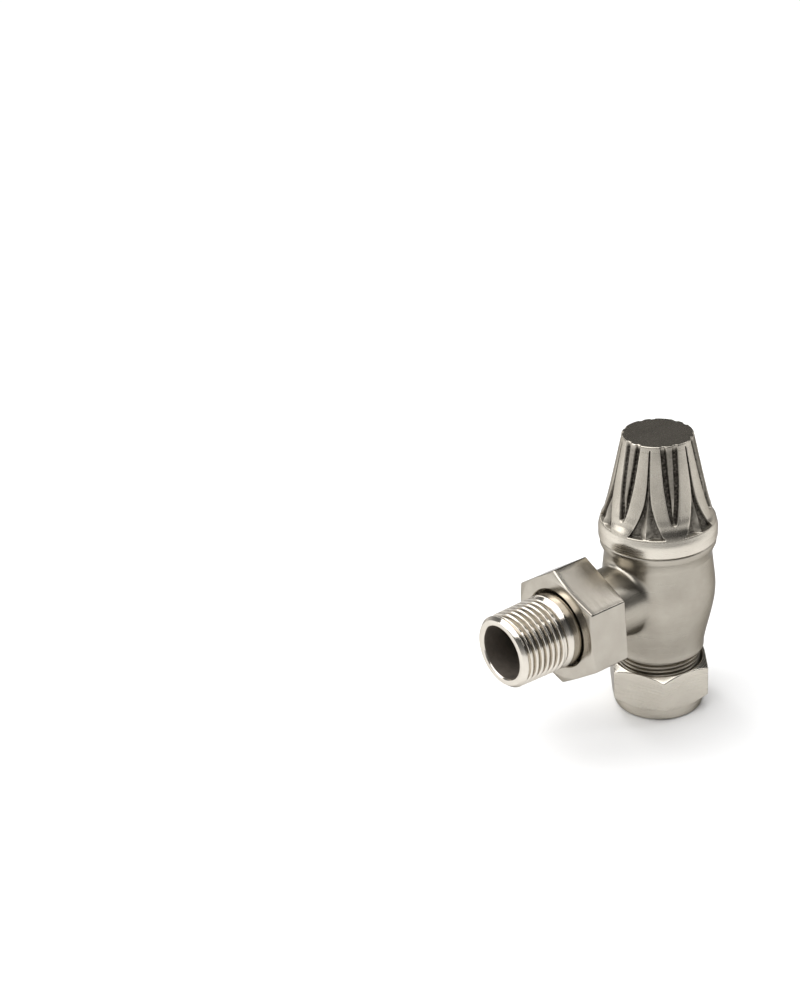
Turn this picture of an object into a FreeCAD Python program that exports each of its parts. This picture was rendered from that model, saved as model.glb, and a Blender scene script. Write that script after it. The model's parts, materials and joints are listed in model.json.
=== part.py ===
import FreeCAD, Part
import Sketcher
import math
import os

# Angle pattern lockshield valve for a radiator.
#
# Frame: the origin is on the pipe's axis at the bottom face of the compression nut, +Z runs up
# the spindle and +X runs out along the radiator tail.  Everything is in millimetres.
#
# Each size is one named cell of the "Sizes" sheet.  A Size carries a number together with the
# sheet expression that gives it, so a point worked out here is also bound to the sheet.

SIZES = {
    # the 15 mm pipe and its compression joint; heights are above the nut's bottom face
    "pipe_diameter": 15.0,
    "pipe_clearance": 0.1,
    "stub_end": 6.9,
    "stub_wall": 4.5,
    "stub_bevel": 0.6,
    "olive_width": 7.2,
    "olive_crown": 1.6,
    "olive_thickness": 1.7,
    "olive_lip": 0.35,
    "nut_height": 14.9,
    "nut_wall": 1.4,
    "nut_foot_inset": 0.7,
    "nut_collar": 3.7,
    "nut_mouth": 0.75,
    "tighten_room": 0.9,
    # the cast body: its foot, flank, belly, waist and rim
    "body_foot": 18.5,
    "foot_step": 1.0,
    "foot_rise": 1.4,
    "foot_bulge": 0.3,
    "ankle_step": 0.4,
    "ankle_rise": 4.5,
    "ankle_hollow": 0.1,
    "body_wall": 5.0,
    "flank_swell": 0.4,
    "flank_drop": 5.8,
    "belly_swell": 0.7,
    "belly_lift": 4.1,
    "belly_bulge": 0.42,
    "waist_drop": 5.3,
    "cove_hollow": 0.35,
    "cove_drop": 1.5,
    "cove_lip": 0.1,
    "rim_inset": 0.3,
    "head_rise": 15.9,
    "seat_drop": 6.9,
    "seat_bore": 5.5,
    "seat_land": 1.3,
    "seat_rise": 1.2,
    "seat_depth": 3.0,
    "flow_step": 1.0,
    "chamber_step": 0.15,
    "outlet_bore": 7.0,
    "neck_radius": 10.2,
    "neck_fillet": 1.6,
    # the union and the tail, measured along X
    "tail_height": 38.4,
    "spigot_start": 26.3,
    "spigot_length": 4.7,
    "spigot_radius": 12.65,
    "union_flats": 30.0,
    "union_overhang": 0.5,
    "union_slack": 0.2,
    "union_wall": 2.2,
    "union_opening": 11.2,
    "union_mouth": 0.6,
    "union_edge": 0.4,
    "union_bevel": 0.8,
    "washer_thickness": 1.4,
    "washer_radius": 11.8,
    "collar_radius": 12.2,
    "collar_thickness": 3.4,
    "tail_bore": 7.6,
    "tail_shank": 10.65,
    "tail_shank_length": 5.5,
    "tail_thread_radius": 10.48,
    "tail_thread_length": 16.3,
    "tail_chamfer": 1.0,
    # the headwork
    "bonnet_thread": 10.35,
    "skirt_length": 8.7,
    "nose_wall": 1.156,
    "nose_room": 0.45,
    "flange_step": 3.05,
    "flange_height": 3.7,
    "bonnet_flats": 18.0,
    "bonnet_hex_height": 8.0,
    "gland_wall": 2.5,
    "seal_cord": 1.5,
    "shoulder_rise": 0.6,
    "packing_width": 1.9,
    "packing_height": 2.5,
    "follower_height": 1.5,
    "gland_reach": 2.5,
    "gland_lead": 1.0,
    "gland_head": 3.5,
    "gland_head_wall": 1.1,
    "gland_bevel": 0.9,
    "gland_bevel_height": 0.5,
    # the spindle and the plug
    "stem_radius": 4.0,
    "square_flats": 5.6,
    "square_length": 7.0,
    "square_lead": 0.5,
    "slot_width": 1.2,
    "slot_depth": 1.5,
    "spindle_collar_step": 1.85,
    "spindle_collar_height": 2.0,
    "thrust_thickness": 0.8,
    "ring_rise": 1.5,
    "ring_pitch": 2.6,
    "ring_cover": 2.5,
    "screw_step": 0.5,
    "plug_wall": 0.15,
    "plug_flange_step": 1.2,
    "plug_flange_height": 2.5,
    "plug_web": 0.5,
    "seat_washer_height": 3.0,
    "plug_travel": 4.5,
    "end_room": 0.3,
    "cup_radius": 3.8,
    "cup_height": 0.8,
    "screw_shank": 2.0,
    "screw_head": 2.9,
    "screw_head_height": 1.6,
    "screw_head_bevel": 0.5,
    "screw_slot_half": 0.4,
    "screw_slot_depth": 0.8,
    # the lockshield cap
    "cap_seam": 0.2,
    "head_room": 2.9,
    "cap_roof": 2.2,
    "cap_top_radius": 9.85,
    "cap_shoulder_radius": 14.145,
    "cap_shoulder_rise": 10.9,
    "cap_step_inset": 0.8,
    "cap_step_rise": 6.0,
    "cap_rim_wall": 2.0,
    "cap_collar_height": 2.7,
    "cap_hollow": 0.2,
    "cap_swell": 0.25,
    "cap_wall": 1.0,
    "cap_carving": 0.9,
    "cap_inside_step": 3.7,
    "cap_side_gap": 1.3,
    "cap_ring_rise": 1.7,
    # the cap's carvings: half widths, and heights up their own leaning floor
    "flute_drop": 2.3,
    "flute_tip": 0.45,
    "flute_foot": 1.0,
    "flute_foot_rise": 0.8,
    "flute_head": 2.7,
    "rib_foot": 0.15,
    "rib_foot_rise": 4.0,
    "rib_head": 0.75,
    "rib_head_drop": 0.1,
    "leaf_drop": 0.7,
    "leaf_base": 4.7,
    "leaf_low": 3.1,
    "leaf_low_rise": 3.2,
    "leaf_high": 1.1,
    "leaf_high_rise": 8.0,
    "leaf_slit": 0.35,
    "leaf_slit_rise": 14.0,
    "leaf_tip": 0.2,
    "leaf_tip_drop": 1.2,
    "spear_base": 1.2,
    "spear_base_rise": 1.2,
    "spear_wide": 1.0,
    "spear_wide_rise": 3.5,
    "spear_tip": 0.12,
    "spear_tip_rise": 8.6,
    "carving_over": 0.5,
    "carving_reach": 4.0,
    # the clearances
    "running": 0.05,
    "thread_gap": 0.06,
    "seal_gap": 0.03,
    "face_gap": 0.05,
}

# polar angles of the hexagons' first corners, and of the cap's carvings
NUT_TURN = 52.5
UNION_TURN = 34.0
CARVING_COUNT = 6
FLUTE_TURN = 4.6
LEAF_TURN = 34.6
GLAND_TURN = 15.0
SQUARE_TURN = 45.0


class Size:
    """A number and the sheet expression that gives it."""

    def __init__(self, value, text):
        self.value = value
        self.text = text

    @staticmethod
    def of(other):
        if isinstance(other, Size):
            return other
        return Size(float(other), repr(float(other)))

    def join(self, other, sign, value):
        return Size(value, "(%s %s %s)" % (self.text, sign, Size.of(other).text))

    def __add__(self, other):
        return self.join(other, "+", self.value + Size.of(other).value)

    def __sub__(self, other):
        return self.join(other, "-", self.value - Size.of(other).value)

    def __mul__(self, other):
        return self.join(other, "*", self.value * Size.of(other).value)

    def __truediv__(self, other):
        return self.join(other, "/", self.value / Size.of(other).value)


def turned(radius, degrees):
    """The two coordinates of a point at a radius and an angle."""
    text = "(%s * %s(%r deg))"
    angle = math.radians(degrees)
    across = Size(radius.value * math.cos(angle), text % (radius.text, "cos", degrees))
    along = Size(radius.value * math.sin(angle), text % (radius.text, "sin", degrees))
    return across, along


# ---------------------------------------------------------------- the document and its sheet

doc = FreeCAD.newDocument("lockshield_valve")
sheet = doc.addObject("Spreadsheet::Sheet", "Sizes")
size = {}
for row, (name, number) in enumerate(SIZES.items(), start=1):
    sheet.set("A%d" % row, name)
    sheet.set("B%d" % row, repr(number))
    sheet.setAlias("B%d" % row, name)
    size[name] = Size(number, "Sizes.%s" % name)
doc.recompute()


class Named:
    """Lets the sizes be written as s.nut_height."""

    def __getattr__(self, name):
        return size[name]


s = Named()
ZERO = Size(0.0, "0")
SQRT3 = math.sqrt(3)

# ---------------------------------------------------------------- helpers


def new_body(label):
    body = doc.addObject("PartDesign::Body", label)
    body.Label = label
    body.Placement = FreeCAD.Placement()
    return body


def origin_part(body, role):
    for feature in body.Origin.OriginFeatures:
        if feature.Role == role:
            return feature
    raise ValueError("the origin has no " + role)


def new_sketch(body, name, role, up=ZERO, out=ZERO):
    """A sketch on one of the body's origin planes, moved up in the plane and out of it."""
    sketch = body.newObject("Sketcher::SketchObject", name)
    sketch.AttachmentSupport = (origin_part(body, role), [""])
    sketch.MapMode = "FlatFace"
    if up is not ZERO:
        sketch.setExpression("AttachmentOffset.Base.y", up.text)
    if out is not ZERO:
        sketch.setExpression("AttachmentOffset.Base.z", out.text)
    return sketch


def pin_point(sketch, shape, end, point):
    """Holds one end of a line or an arc at two sizes."""
    for kind, axis, place in (("DistanceX", -2, point[0]), ("DistanceY", -1, point[1])):
        if place is ZERO:
            sketch.addConstraint(Sketcher.Constraint("PointOnObject", shape, end, axis))
            continue
        index = sketch.addConstraint(Sketcher.Constraint(kind, -1, 1, shape, end, place.value))
        sketch.setExpression("Constraints[%d]" % index, place.text)


def vector(point):
    return FreeCAD.Vector(point[0].value, point[1].value, 0)


def arc_between(start, end, bulge):
    """The arc between two points that bulges to the left of their line, drawn anticlockwise."""
    chord = end - start
    left = FreeCAD.Vector(-chord.y, chord.x, 0).normalize()
    middle = (start + end) * 0.5 + left * bulge
    if bulge > 0:
        return Part.Arc(end, middle, start)
    return Part.Arc(start, middle, end)


def outline(sketch, points, bulges=None):
    """A closed outline.  bulges gives the bulge of the arc that leaves a point, by its number."""
    bulges = bulges or {}
    count = len(points)
    first = sketch.GeometryCount
    ends = []
    for i in range(count):
        start = vector(points[i])
        end = vector(points[(i + 1) % count])
        if i in bulges:
            sketch.addGeometry(arc_between(start, end, bulges[i].value), False)
            ends.append((2, 1) if bulges[i].value > 0 else (1, 2))
        else:
            sketch.addGeometry(Part.LineSegment(start, end), False)
            ends.append((1, 2))
    for i in range(count):
        after = (i + 1) % count
        join = ("Coincident", first + i, ends[i][1], first + after, ends[after][0])
        sketch.addConstraint(Sketcher.Constraint(*join))
    for i in range(count):
        pin_point(sketch, first + i, ends[i][0], points[i])
    for i, bulge in bulges.items():
        across = points[(i + 1) % count][0] - points[i][0]
        along = points[(i + 1) % count][1] - points[i][1]
        square = across * across + along * along
        radius = square / (bulge * 8.0) + bulge / 2.0
        held = sketch.addConstraint(Sketcher.Constraint("Radius", first + i, abs(radius.value)))
        sketch.setExpression("Constraints[%d]" % held, "abs(%s)" % radius.text)


def circle(sketch, radius):
    index = sketch.GeometryCount
    sketch.addGeometry(Part.Circle(FreeCAD.Vector(), FreeCAD.Vector(0, 0, 1), radius.value), False)
    sketch.addConstraint(Sketcher.Constraint("Coincident", index, 3, -1, 1))
    held = sketch.addConstraint(Sketcher.Constraint("Radius", index, radius.value))
    sketch.setExpression("Constraints[%d]" % held, radius.text)


def revolve(body, name, points, bulges=None, about="V_Axis", up=ZERO, role="XZ_Plane"):
    """Turns an outline drawn in an upright plane about the Z axis, or about the tail's axis."""
    sketch = new_sketch(body, name + "_outline", role, up=up)
    outline(sketch, points, bulges)
    turning = body.newObject("PartDesign::Revolution", name)
    turning.Profile = sketch
    turning.ReferenceAxis = (sketch, [about])
    turning.Angle = 360.0
    doc.recompute()
    return turning


def pad(body, name, radius, start, end, up=ZERO):
    """A round boss along X from one place to another."""
    sketch = new_sketch(body, name + "_outline", "YZ_Plane", up=up, out=start)
    circle(sketch, radius)
    boss = body.newObject("PartDesign::Pad", name)
    boss.Profile = sketch
    boss.setExpression("Length", (end - start).text)
    doc.recompute()
    return boss


def cut(body, name, sketch, depth, outwards=False):
    """A pocket against the sketch's normal, or along it, that has to take something away."""
    before = body.Shape.Volume
    pocket = body.newObject("PartDesign::Pocket", name)
    pocket.Profile = sketch
    pocket.Reversed = outwards
    pocket.setExpression("Length", depth.text)
    doc.recompute()
    if not body.Shape.Volume < before:
        raise ValueError(name + " cuts nothing")
    return pocket


def regular(flats, sides, turn):
    """The corners of a regular polygon with a size across its flats."""
    corner = flats / (2.0 * math.cos(math.pi / sides))
    return [turned(corner, turn + 360.0 / sides * k) for k in range(sides)]


def cut_flats(body, name, role, flats, sides, turn, top, depth, up=ZERO):
    """Mills flats on a round blank, from a place downwards, by cutting all outside a polygon."""
    sketch = new_sketch(body, name + "_outline", role, up=up, out=top)
    outline(sketch, regular(flats, sides, turn))
    circle(sketch, flats)
    return cut(body, name, sketch, depth)


def cut_slot(body, name, width, length, top, depth):
    """A straight slot across the Z axis, from a height downwards."""
    sketch = new_sketch(body, name + "_outline", "XY_Plane", out=top)
    x = length / 2.0
    y = width / 2.0
    outline(sketch, [(x, y), (ZERO - x, y), (ZERO - x, ZERO - y), (x, ZERO - y)])
    return cut(body, name, sketch, depth)


def ring(label, inner, outer, bottom, height):
    """A plain washer about the Z axis."""
    body = new_body(label)
    top = bottom + height
    revolve(body, label + "_ring", [(inner, bottom), (outer, bottom), (outer, top), (inner, top)])
    return body


def seal_ring(label, inner, outer, height):
    """A rubber ring about the Z axis that just fits between two radii."""
    torus = doc.addObject("Part::Torus", label)
    torus.Label = label
    torus.setExpression("Radius1", ((inner + outer) / 2.0).text)
    torus.setExpression("Radius2", ((outer - inner) / 2.0).text)
    torus.setExpression("Placement.Base.z", height.text)
    return torus


# ---------------------------------------------------------------- where the pieces meet

# the compression joint, from the pipe outwards
pipe_bore = s.pipe_diameter / 2.0 + s.pipe_clearance
stub_radius = pipe_bore + s.stub_wall
olive_radius = pipe_bore + s.olive_thickness
olive_middle = s.stub_end - s.olive_crown / 4.0
olive_rise = s.olive_thickness - s.olive_lip
olive_slope = olive_rise / (s.olive_width - s.olive_crown) * 2.0
cone_radius = olive_radius + s.face_gap
cone_mouth = olive_middle + s.olive_crown / 2.0
cone_top = cone_mouth + (cone_radius - pipe_bore) / olive_slope

# the heights up the valve, from the tail's axis
seat_height = s.tail_height - s.seat_drop
body_top = s.tail_height + s.head_rise
shoulder = body_top + s.shoulder_rise
skirt_bottom = body_top - s.skirt_length
cap_bottom = body_top + s.cap_seam

# the radii of the headwork, from the spindle and the bonnet's thread outwards
stem_bore = s.stem_radius + s.running
gland_radius = s.stem_radius + s.packing_width
spindle_collar = s.stem_radius + s.spindle_collar_step
plug_flats = (spindle_collar + s.plug_wall) * 2.0
guide_flats = plug_flats + s.running * 4.0
chamber_radius = s.bonnet_thread - s.chamber_step
flange_radius = s.bonnet_thread + s.flange_step
cap_bore = flange_radius + s.cap_side_gap
cap_collar_radius = cap_bore + s.cap_rim_wall

# ---------------------------------------------------------------- the body casting

foot_radius = stub_radius + s.foot_step
waist_radius = chamber_radius + s.body_wall
rim_radius = cap_collar_radius - s.rim_inset

valve_body = new_body("valve_body")
# the barrel is turned from the YZ plane, which keeps its seam away from the neck's fillet
revolve(valve_body, "barrel", [
    (ZERO, s.stub_end),
    (stub_radius - s.stub_bevel, s.stub_end),
    (stub_radius, s.stub_end + s.stub_bevel),
    (stub_radius, s.body_foot),
    (foot_radius, s.body_foot + s.foot_rise),
    (foot_radius + s.ankle_step, s.body_foot + s.ankle_rise),
    (waist_radius + s.flank_swell, s.tail_height - s.flank_drop),
    (waist_radius + s.belly_swell, s.tail_height + s.belly_lift),
    (waist_radius, body_top - s.waist_drop),
    (rim_radius + s.cove_lip, body_top - s.cove_drop),
    (rim_radius, body_top),
    (ZERO, body_top),
], bulges={3: ZERO - s.foot_bulge, 4: s.ankle_hollow, 6: ZERO - s.belly_bulge, 8: s.cove_hollow},
    role="YZ_Plane")
spigot_end = s.spigot_start + s.spigot_length
pad(valve_body, "neck", s.neck_radius, ZERO, s.spigot_start, up=s.tail_height)
pad(valve_body, "spigot", s.spigot_radius, s.spigot_start, spigot_end, up=s.tail_height)

chamber_floor = seat_height - s.seat_rise
thread_bore = s.bonnet_thread + s.thread_gap
seat_throat = seat_height - s.seat_depth
flow_bore = s.seat_bore + s.flow_step
seal_pocket = s.bonnet_thread + s.seal_cord + s.seal_gap * 2.0
seal_pocket_floor = body_top - s.seal_cord - s.seal_gap
waterway = new_sketch(valve_body, "waterway_outline", "XZ_Plane")
outline(waterway, [
    (ZERO, s.stub_end),
    (cone_radius + (cone_mouth - s.stub_end) * olive_slope, s.stub_end),
    (pipe_bore, cone_top),
    (pipe_bore, s.body_foot),
    (flow_bore, s.body_foot),
    (flow_bore, seat_throat),
    (s.seat_bore, seat_throat),
    (s.seat_bore, seat_height),
    (s.seat_bore + s.seat_land, seat_height),
    (s.seat_bore + s.seat_land, chamber_floor),
    (chamber_radius, chamber_floor),
    (chamber_radius, skirt_bottom - s.face_gap),
    (thread_bore, skirt_bottom - s.face_gap),
    (thread_bore, seal_pocket_floor),
    (seal_pocket, seal_pocket_floor),
    (seal_pocket, body_top),
    (ZERO, body_top),
])
solid_volume = valve_body.Shape.Volume
bored = valve_body.newObject("PartDesign::Groove", "waterway")
bored.Profile = waterway
bored.ReferenceAxis = (waterway, ["V_Axis"])
bored.Angle = 360.0
doc.recompute()
if not valve_body.Shape.Volume < solid_volume:
    raise ValueError("the waterway cuts nothing")

# the casting's fillet, where the round neck grows out of the barrel
neck_edges = []
for number, edge in enumerate(bored.Shape.Edges, start=1):
    if edge.Curve.TypeId == "Part::GeomLine" or edge.BoundBox.XMax > s.spigot_start.value - 1.0:
        continue
    length = edge.LastParameter - edge.FirstParameter
    places = [edge.valueAt(edge.FirstParameter + length * k / 6.0) for k in range(7)]
    reach = [math.hypot(p.y, p.z - s.tail_height.value) for p in places]
    if all(abs(r - s.neck_radius.value) < 0.02 for r in reach):
        neck_edges.append("Edge%d" % number)
neck_fillet = valve_body.newObject("PartDesign::Fillet", "neck_fillet")
neck_fillet.Base = (bored, neck_edges)
neck_fillet.setExpression("Radius", s.neck_fillet.text)
doc.recompute()

outlet = new_sketch(valve_body, "outlet_outline", "YZ_Plane", up=s.tail_height, out=spigot_end)
circle(outlet, s.outlet_bore)
cut(valve_body, "outlet", outlet, spigot_end)

# ---------------------------------------------------------------- the compression joint

nut_thread = stub_radius + s.thread_gap
nut_relief = s.stub_end - s.tighten_room
nut_floor = olive_middle * 2.0 - cone_top
nut_half = stub_radius + s.nut_wall
nut_corner = nut_half * 2.0 / SQRT3
nut_bevel = (nut_corner - nut_half) / SQRT3

compression_nut = new_body("compression_nut")
revolve(compression_nut, "blank", [
    (pipe_bore, ZERO),
    (nut_half - s.nut_foot_inset, ZERO),
    (nut_half, s.nut_collar),
    (nut_corner, s.nut_collar + nut_bevel),
    (nut_corner, s.nut_height - nut_bevel),
    (nut_half, s.nut_height),
    (nut_thread + s.nut_mouth, s.nut_height),
    (nut_thread, s.nut_height - s.nut_mouth),
    (nut_thread, nut_relief),
    (cone_radius, nut_relief),
    (cone_radius, olive_middle - s.olive_crown / 2.0),
    (pipe_bore, nut_floor),
])
cut_flats(compression_nut, "flats", "XY_Plane", nut_half * 2.0, 6, NUT_TURN, s.nut_height,
          s.nut_height - s.nut_collar)

olive = new_body("olive")
olive_low = olive_middle - s.olive_width / 2.0
olive_high = olive_middle + s.olive_width / 2.0
revolve(olive, "olive_ring", [
    (pipe_bore, olive_low),
    (pipe_bore + s.olive_lip, olive_low),
    (olive_radius, olive_middle - s.olive_crown / 2.0),
    (olive_radius, olive_middle + s.olive_crown / 2.0),
    (pipe_bore + s.olive_lip, olive_high),
    (pipe_bore, olive_high),
])

# ---------------------------------------------------------------- the union

washer_back = spigot_end + s.face_gap
collar_back = washer_back + s.washer_thickness + s.face_gap
collar_front = collar_back + s.collar_thickness
union_thread = s.spigot_radius + s.thread_gap
union_back = s.spigot_start - s.union_overhang
union_shoulder = collar_front + s.union_slack
union_front = union_shoulder + s.union_wall
union_half = s.union_flats / 2.0
union_corner = s.union_flats / SQRT3
union_nut = new_body("union_nut")
revolve(union_nut, "blank", [
    (union_back, union_thread + s.union_mouth),
    (union_back, union_corner),
    (union_front - s.union_bevel, union_corner),
    (union_front, union_half),
    (union_front, s.union_opening + s.union_edge),
    (union_front - s.union_edge, s.union_opening),
    (union_shoulder, s.union_opening),
    (union_shoulder, union_thread),
    (union_back + s.union_mouth, union_thread),
], about="H_Axis", up=s.tail_height)
cut_flats(union_nut, "flats", "YZ_Plane", s.union_flats, 6, UNION_TURN, union_front,
          union_front - union_back, up=s.tail_height)

thread_back = collar_front + s.tail_shank_length
tail_end = thread_back + s.tail_thread_length
radiator_tail = new_body("radiator_tail")
revolve(radiator_tail, "tail", [
    (collar_back, s.tail_bore),
    (collar_back, s.collar_radius),
    (collar_front, s.collar_radius),
    (collar_front, s.tail_shank),
    (thread_back, s.tail_shank),
    (thread_back, s.tail_thread_radius),
    (tail_end - s.tail_chamfer, s.tail_thread_radius),
    (tail_end, s.tail_thread_radius - s.tail_chamfer),
    (tail_end, s.tail_bore),
], about="H_Axis", up=s.tail_height)

union_washer = new_body("union_washer")
washer_front = washer_back + s.washer_thickness
revolve(union_washer, "washer", [
    (washer_back, s.tail_bore),
    (washer_back, s.washer_radius),
    (washer_front, s.washer_radius),
    (washer_front, s.tail_bore),
], about="H_Axis", up=s.tail_height)

# ---------------------------------------------------------------- the headwork

flange_bottom = body_top + s.face_gap
flange_top = body_top + s.flange_height
hex_top = flange_top + s.bonnet_hex_height
plug_flange_bottom = seat_height + s.seat_washer_height + s.face_gap
plug_flange_top = plug_flange_bottom + s.plug_flange_height
nose_bottom = plug_flange_top + s.plug_travel + s.nose_room
nose_radius = guide_flats / SQRT3 + s.nose_wall
ring_low = shoulder + s.ring_rise
ring_high = ring_low + s.ring_pitch
groove_half = s.seal_cord / 2.0 + s.seal_gap * 2.0
gland_floor = ring_high + s.ring_cover
packing_top = gland_floor + s.packing_height
follower_top = packing_top + s.follower_height
bonnet_top = follower_top + s.gland_reach
headwork_bonnet = new_body("headwork_bonnet")
revolve(headwork_bonnet, "bonnet", [
    (ZERO, nose_bottom),
    (nose_radius, nose_bottom),
    (nose_radius, skirt_bottom),
    (s.bonnet_thread, skirt_bottom),
    (s.bonnet_thread, flange_bottom),
    (flange_radius, flange_bottom),
    (flange_radius, flange_top),
    (s.bonnet_flats / SQRT3, flange_top),
    (s.bonnet_flats / SQRT3, hex_top),
    (gland_radius + s.gland_wall, hex_top),
    (gland_radius + s.gland_wall, bonnet_top),
    (gland_radius, bonnet_top),
    (gland_radius, gland_floor),
    (stem_bore, gland_floor),
    (stem_bore, shoulder),
    (ZERO, shoulder),
])
cut_flats(headwork_bonnet, "spanner_flats", "XY_Plane", s.bonnet_flats, 6, 0.0, hex_top,
          s.bonnet_hex_height)
guide = new_sketch(headwork_bonnet, "guide_outline", "XY_Plane", out=nose_bottom)
outline(guide, regular(guide_flats, 6, 0.0))
cut(headwork_bonnet, "plug_guide", guide, shoulder - nose_bottom, outwards=True)

bonnet_ring_inner = s.bonnet_thread + s.seal_gap
seal_ring("bonnet_o_ring", bonnet_ring_inner, bonnet_ring_inner + s.seal_cord,
          body_top - s.seal_cord / 2.0)

ring("gland_packing", stem_bore, gland_radius - s.seal_gap, gland_floor + s.face_gap,
     s.packing_height - s.face_gap)
ring("gland_follower", stem_bore, gland_radius - s.seal_gap, packing_top + s.face_gap,
     s.follower_height - s.face_gap)

gland_bottom = follower_top + s.face_gap
gland_seat = bonnet_top + s.gland_lead
gland_top = gland_seat + s.gland_head
gland_half = gland_radius + s.gland_head_wall
gland_corner = gland_half * 2.0 / SQRT3
gland_nut = new_body("gland_nut")
revolve(gland_nut, "gland", [
    (stem_bore, gland_bottom),
    (gland_radius - s.thread_gap, gland_bottom),
    (gland_radius - s.thread_gap, gland_seat),
    (gland_corner, gland_seat),
    (gland_corner, gland_top - s.gland_bevel_height),
    (gland_corner - s.gland_bevel, gland_top),
    (stem_bore, gland_top),
])
cut_flats(gland_nut, "flats", "XY_Plane", gland_half * 2.0, 6, GLAND_TURN, gland_top, s.gland_head)

# ---------------------------------------------------------------- the spindle

thrust_bottom = shoulder - s.face_gap - s.thrust_thickness
spindle_collar_top = thrust_bottom - s.face_gap
spindle_collar_bottom = spindle_collar_top - s.spindle_collar_height
plug_top = spindle_collar_bottom - s.plug_travel - s.end_room
plug_bore_floor = plug_flange_top + s.plug_web
spindle_foot = plug_bore_floor + s.plug_travel + s.end_room
square_bottom = gland_top + s.square_lead
spindle_top = square_bottom + s.square_length
screw_radius = s.stem_radius - s.screw_step
groove_radius = stem_bore - s.seal_cord

valve_spindle = new_body("valve_spindle")
revolve(valve_spindle, "stem", [
    (ZERO, spindle_foot),
    (screw_radius, spindle_foot),
    (screw_radius, spindle_collar_bottom),
    (spindle_collar, spindle_collar_bottom),
    (spindle_collar, spindle_collar_top),
    (s.stem_radius, spindle_collar_top),
    (s.stem_radius, ring_low - groove_half),
    (groove_radius, ring_low - groove_half),
    (groove_radius, ring_low + groove_half),
    (s.stem_radius, ring_low + groove_half),
    (s.stem_radius, ring_high - groove_half),
    (groove_radius, ring_high - groove_half),
    (groove_radius, ring_high + groove_half),
    (s.stem_radius, ring_high + groove_half),
    (s.stem_radius, spindle_top),
    (ZERO, spindle_top),
])
cut_flats(valve_spindle, "key_square", "XY_Plane", s.square_flats, 4, SQUARE_TURN, spindle_top,
          s.square_length)
cut_slot(valve_spindle, "driver_slot", s.slot_width, s.stem_radius * 2.5, spindle_top,
         s.slot_depth)
for label, height in (("spindle_o_ring_lower", ring_low), ("spindle_o_ring_upper", ring_high)):
    seal_ring(label, groove_radius + s.seal_gap, stem_bore - s.seal_gap, height)
ring("thrust_washer", stem_bore, spindle_collar, thrust_bottom, s.thrust_thickness)

# ---------------------------------------------------------------- the valve plug

valve_plug = new_body("valve_plug")
screw_bore = screw_radius + s.thread_gap
plug_flange = s.seat_bore + s.seat_land + s.plug_flange_step
revolve(valve_plug, "plug", [
    (ZERO, plug_flange_bottom),
    (plug_flange, plug_flange_bottom),
    (plug_flange, plug_flange_top),
    (plug_flats / SQRT3, plug_flange_top),
    (plug_flats / SQRT3, plug_top),
    (screw_bore, plug_top),
    (screw_bore, plug_bore_floor),
    (ZERO, plug_bore_floor),
])
cut_flats(valve_plug, "guide_flats", "XY_Plane", plug_flats, 6, 0.0, plug_top,
          plug_top - plug_flange_top)
tapping = new_sketch(valve_plug, "tapping_outline", "XY_Plane", out=plug_flange_bottom)
circle(tapping, s.screw_shank + s.seal_gap)
cut(valve_plug, "tapping", tapping, s.plug_flange_height - s.plug_web, outwards=True)

seat_washer_bottom = seat_height + s.face_gap
ring("seat_washer", s.screw_shank + s.seal_gap, plug_flange - s.end_room, seat_washer_bottom,
     s.seat_washer_height - s.face_gap)
cup_bottom = seat_washer_bottom - s.face_gap - s.cup_height
ring("seat_washer_plate", s.screw_shank + s.seal_gap, s.cup_radius, cup_bottom, s.cup_height)
head_top = cup_bottom - s.face_gap
head_bottom = head_top - s.screw_head_height
screw_end = plug_flange_top - s.plug_web - s.end_room
seat_screw = new_body("seat_screw")
revolve(seat_screw, "screw", [
    (ZERO, head_bottom),
    (s.screw_head - s.screw_head_bevel, head_bottom),
    (s.screw_head, head_bottom + s.screw_head_bevel),
    (s.screw_head, head_top),
    (s.screw_shank, head_top),
    (s.screw_shank, screw_end),
    (ZERO, screw_end),
])
driver = new_sketch(seat_screw, "driver_outline", "XY_Plane", out=head_bottom)
slot_end = s.screw_head + s.screw_head_bevel
outline(driver, [(slot_end, s.screw_slot_half), (ZERO - slot_end, s.screw_slot_half),
                 (ZERO - slot_end, ZERO - s.screw_slot_half),
                 (slot_end, ZERO - s.screw_slot_half)])
cut(seat_screw, "driver_slot", driver, s.screw_slot_depth, outwards=True)

# ---------------------------------------------------------------- the lockshield cap

cap_top = spindle_top + s.head_room + s.cap_roof
cap_shoulder = cap_bottom + s.cap_shoulder_rise
cap_step = cap_bottom + s.cap_step_rise
slope = (s.cap_shoulder_radius - s.cap_top_radius) / (cap_top - cap_shoulder)
lean = Size(math.degrees(math.atan(slope.value)), "atan(%s)" % slope.text)


def cap_radius(height):
    """The radius of the cap's long cone at a height."""
    return s.cap_top_radius + (cap_top - height) * slope


roof = cap_top - s.cap_roof
step_inside = cap_bottom + s.cap_inside_step
inner_gap = s.cap_wall + s.cap_carving
ring_height = cap_bottom + s.cap_ring_rise
ring_inner = flange_radius + s.running
ring_groove = ring_inner + s.seal_cord + s.seal_gap
lockshield_cap = new_body("lockshield_cap")
revolve(lockshield_cap, "shell", [
    (cap_bore, cap_bottom),
    (cap_collar_radius, cap_bottom),
    (cap_collar_radius, cap_bottom + s.cap_collar_height),
    (cap_collar_radius - s.cap_step_inset, cap_step),
    (s.cap_shoulder_radius, cap_shoulder),
    (s.cap_top_radius, cap_top),
    (ZERO, cap_top),
    (ZERO, roof),
    (cap_radius(roof) - inner_gap, roof),
    (cap_radius(step_inside) - inner_gap, step_inside),
    (cap_bore, step_inside),
    (cap_bore, ring_height + groove_half),
    (ring_groove, ring_height + groove_half),
    (ring_groove, ring_height - groove_half),
    (cap_bore, ring_height - groove_half),
], bulges={2: ZERO - s.cap_hollow, 3: s.cap_swell})


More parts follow.
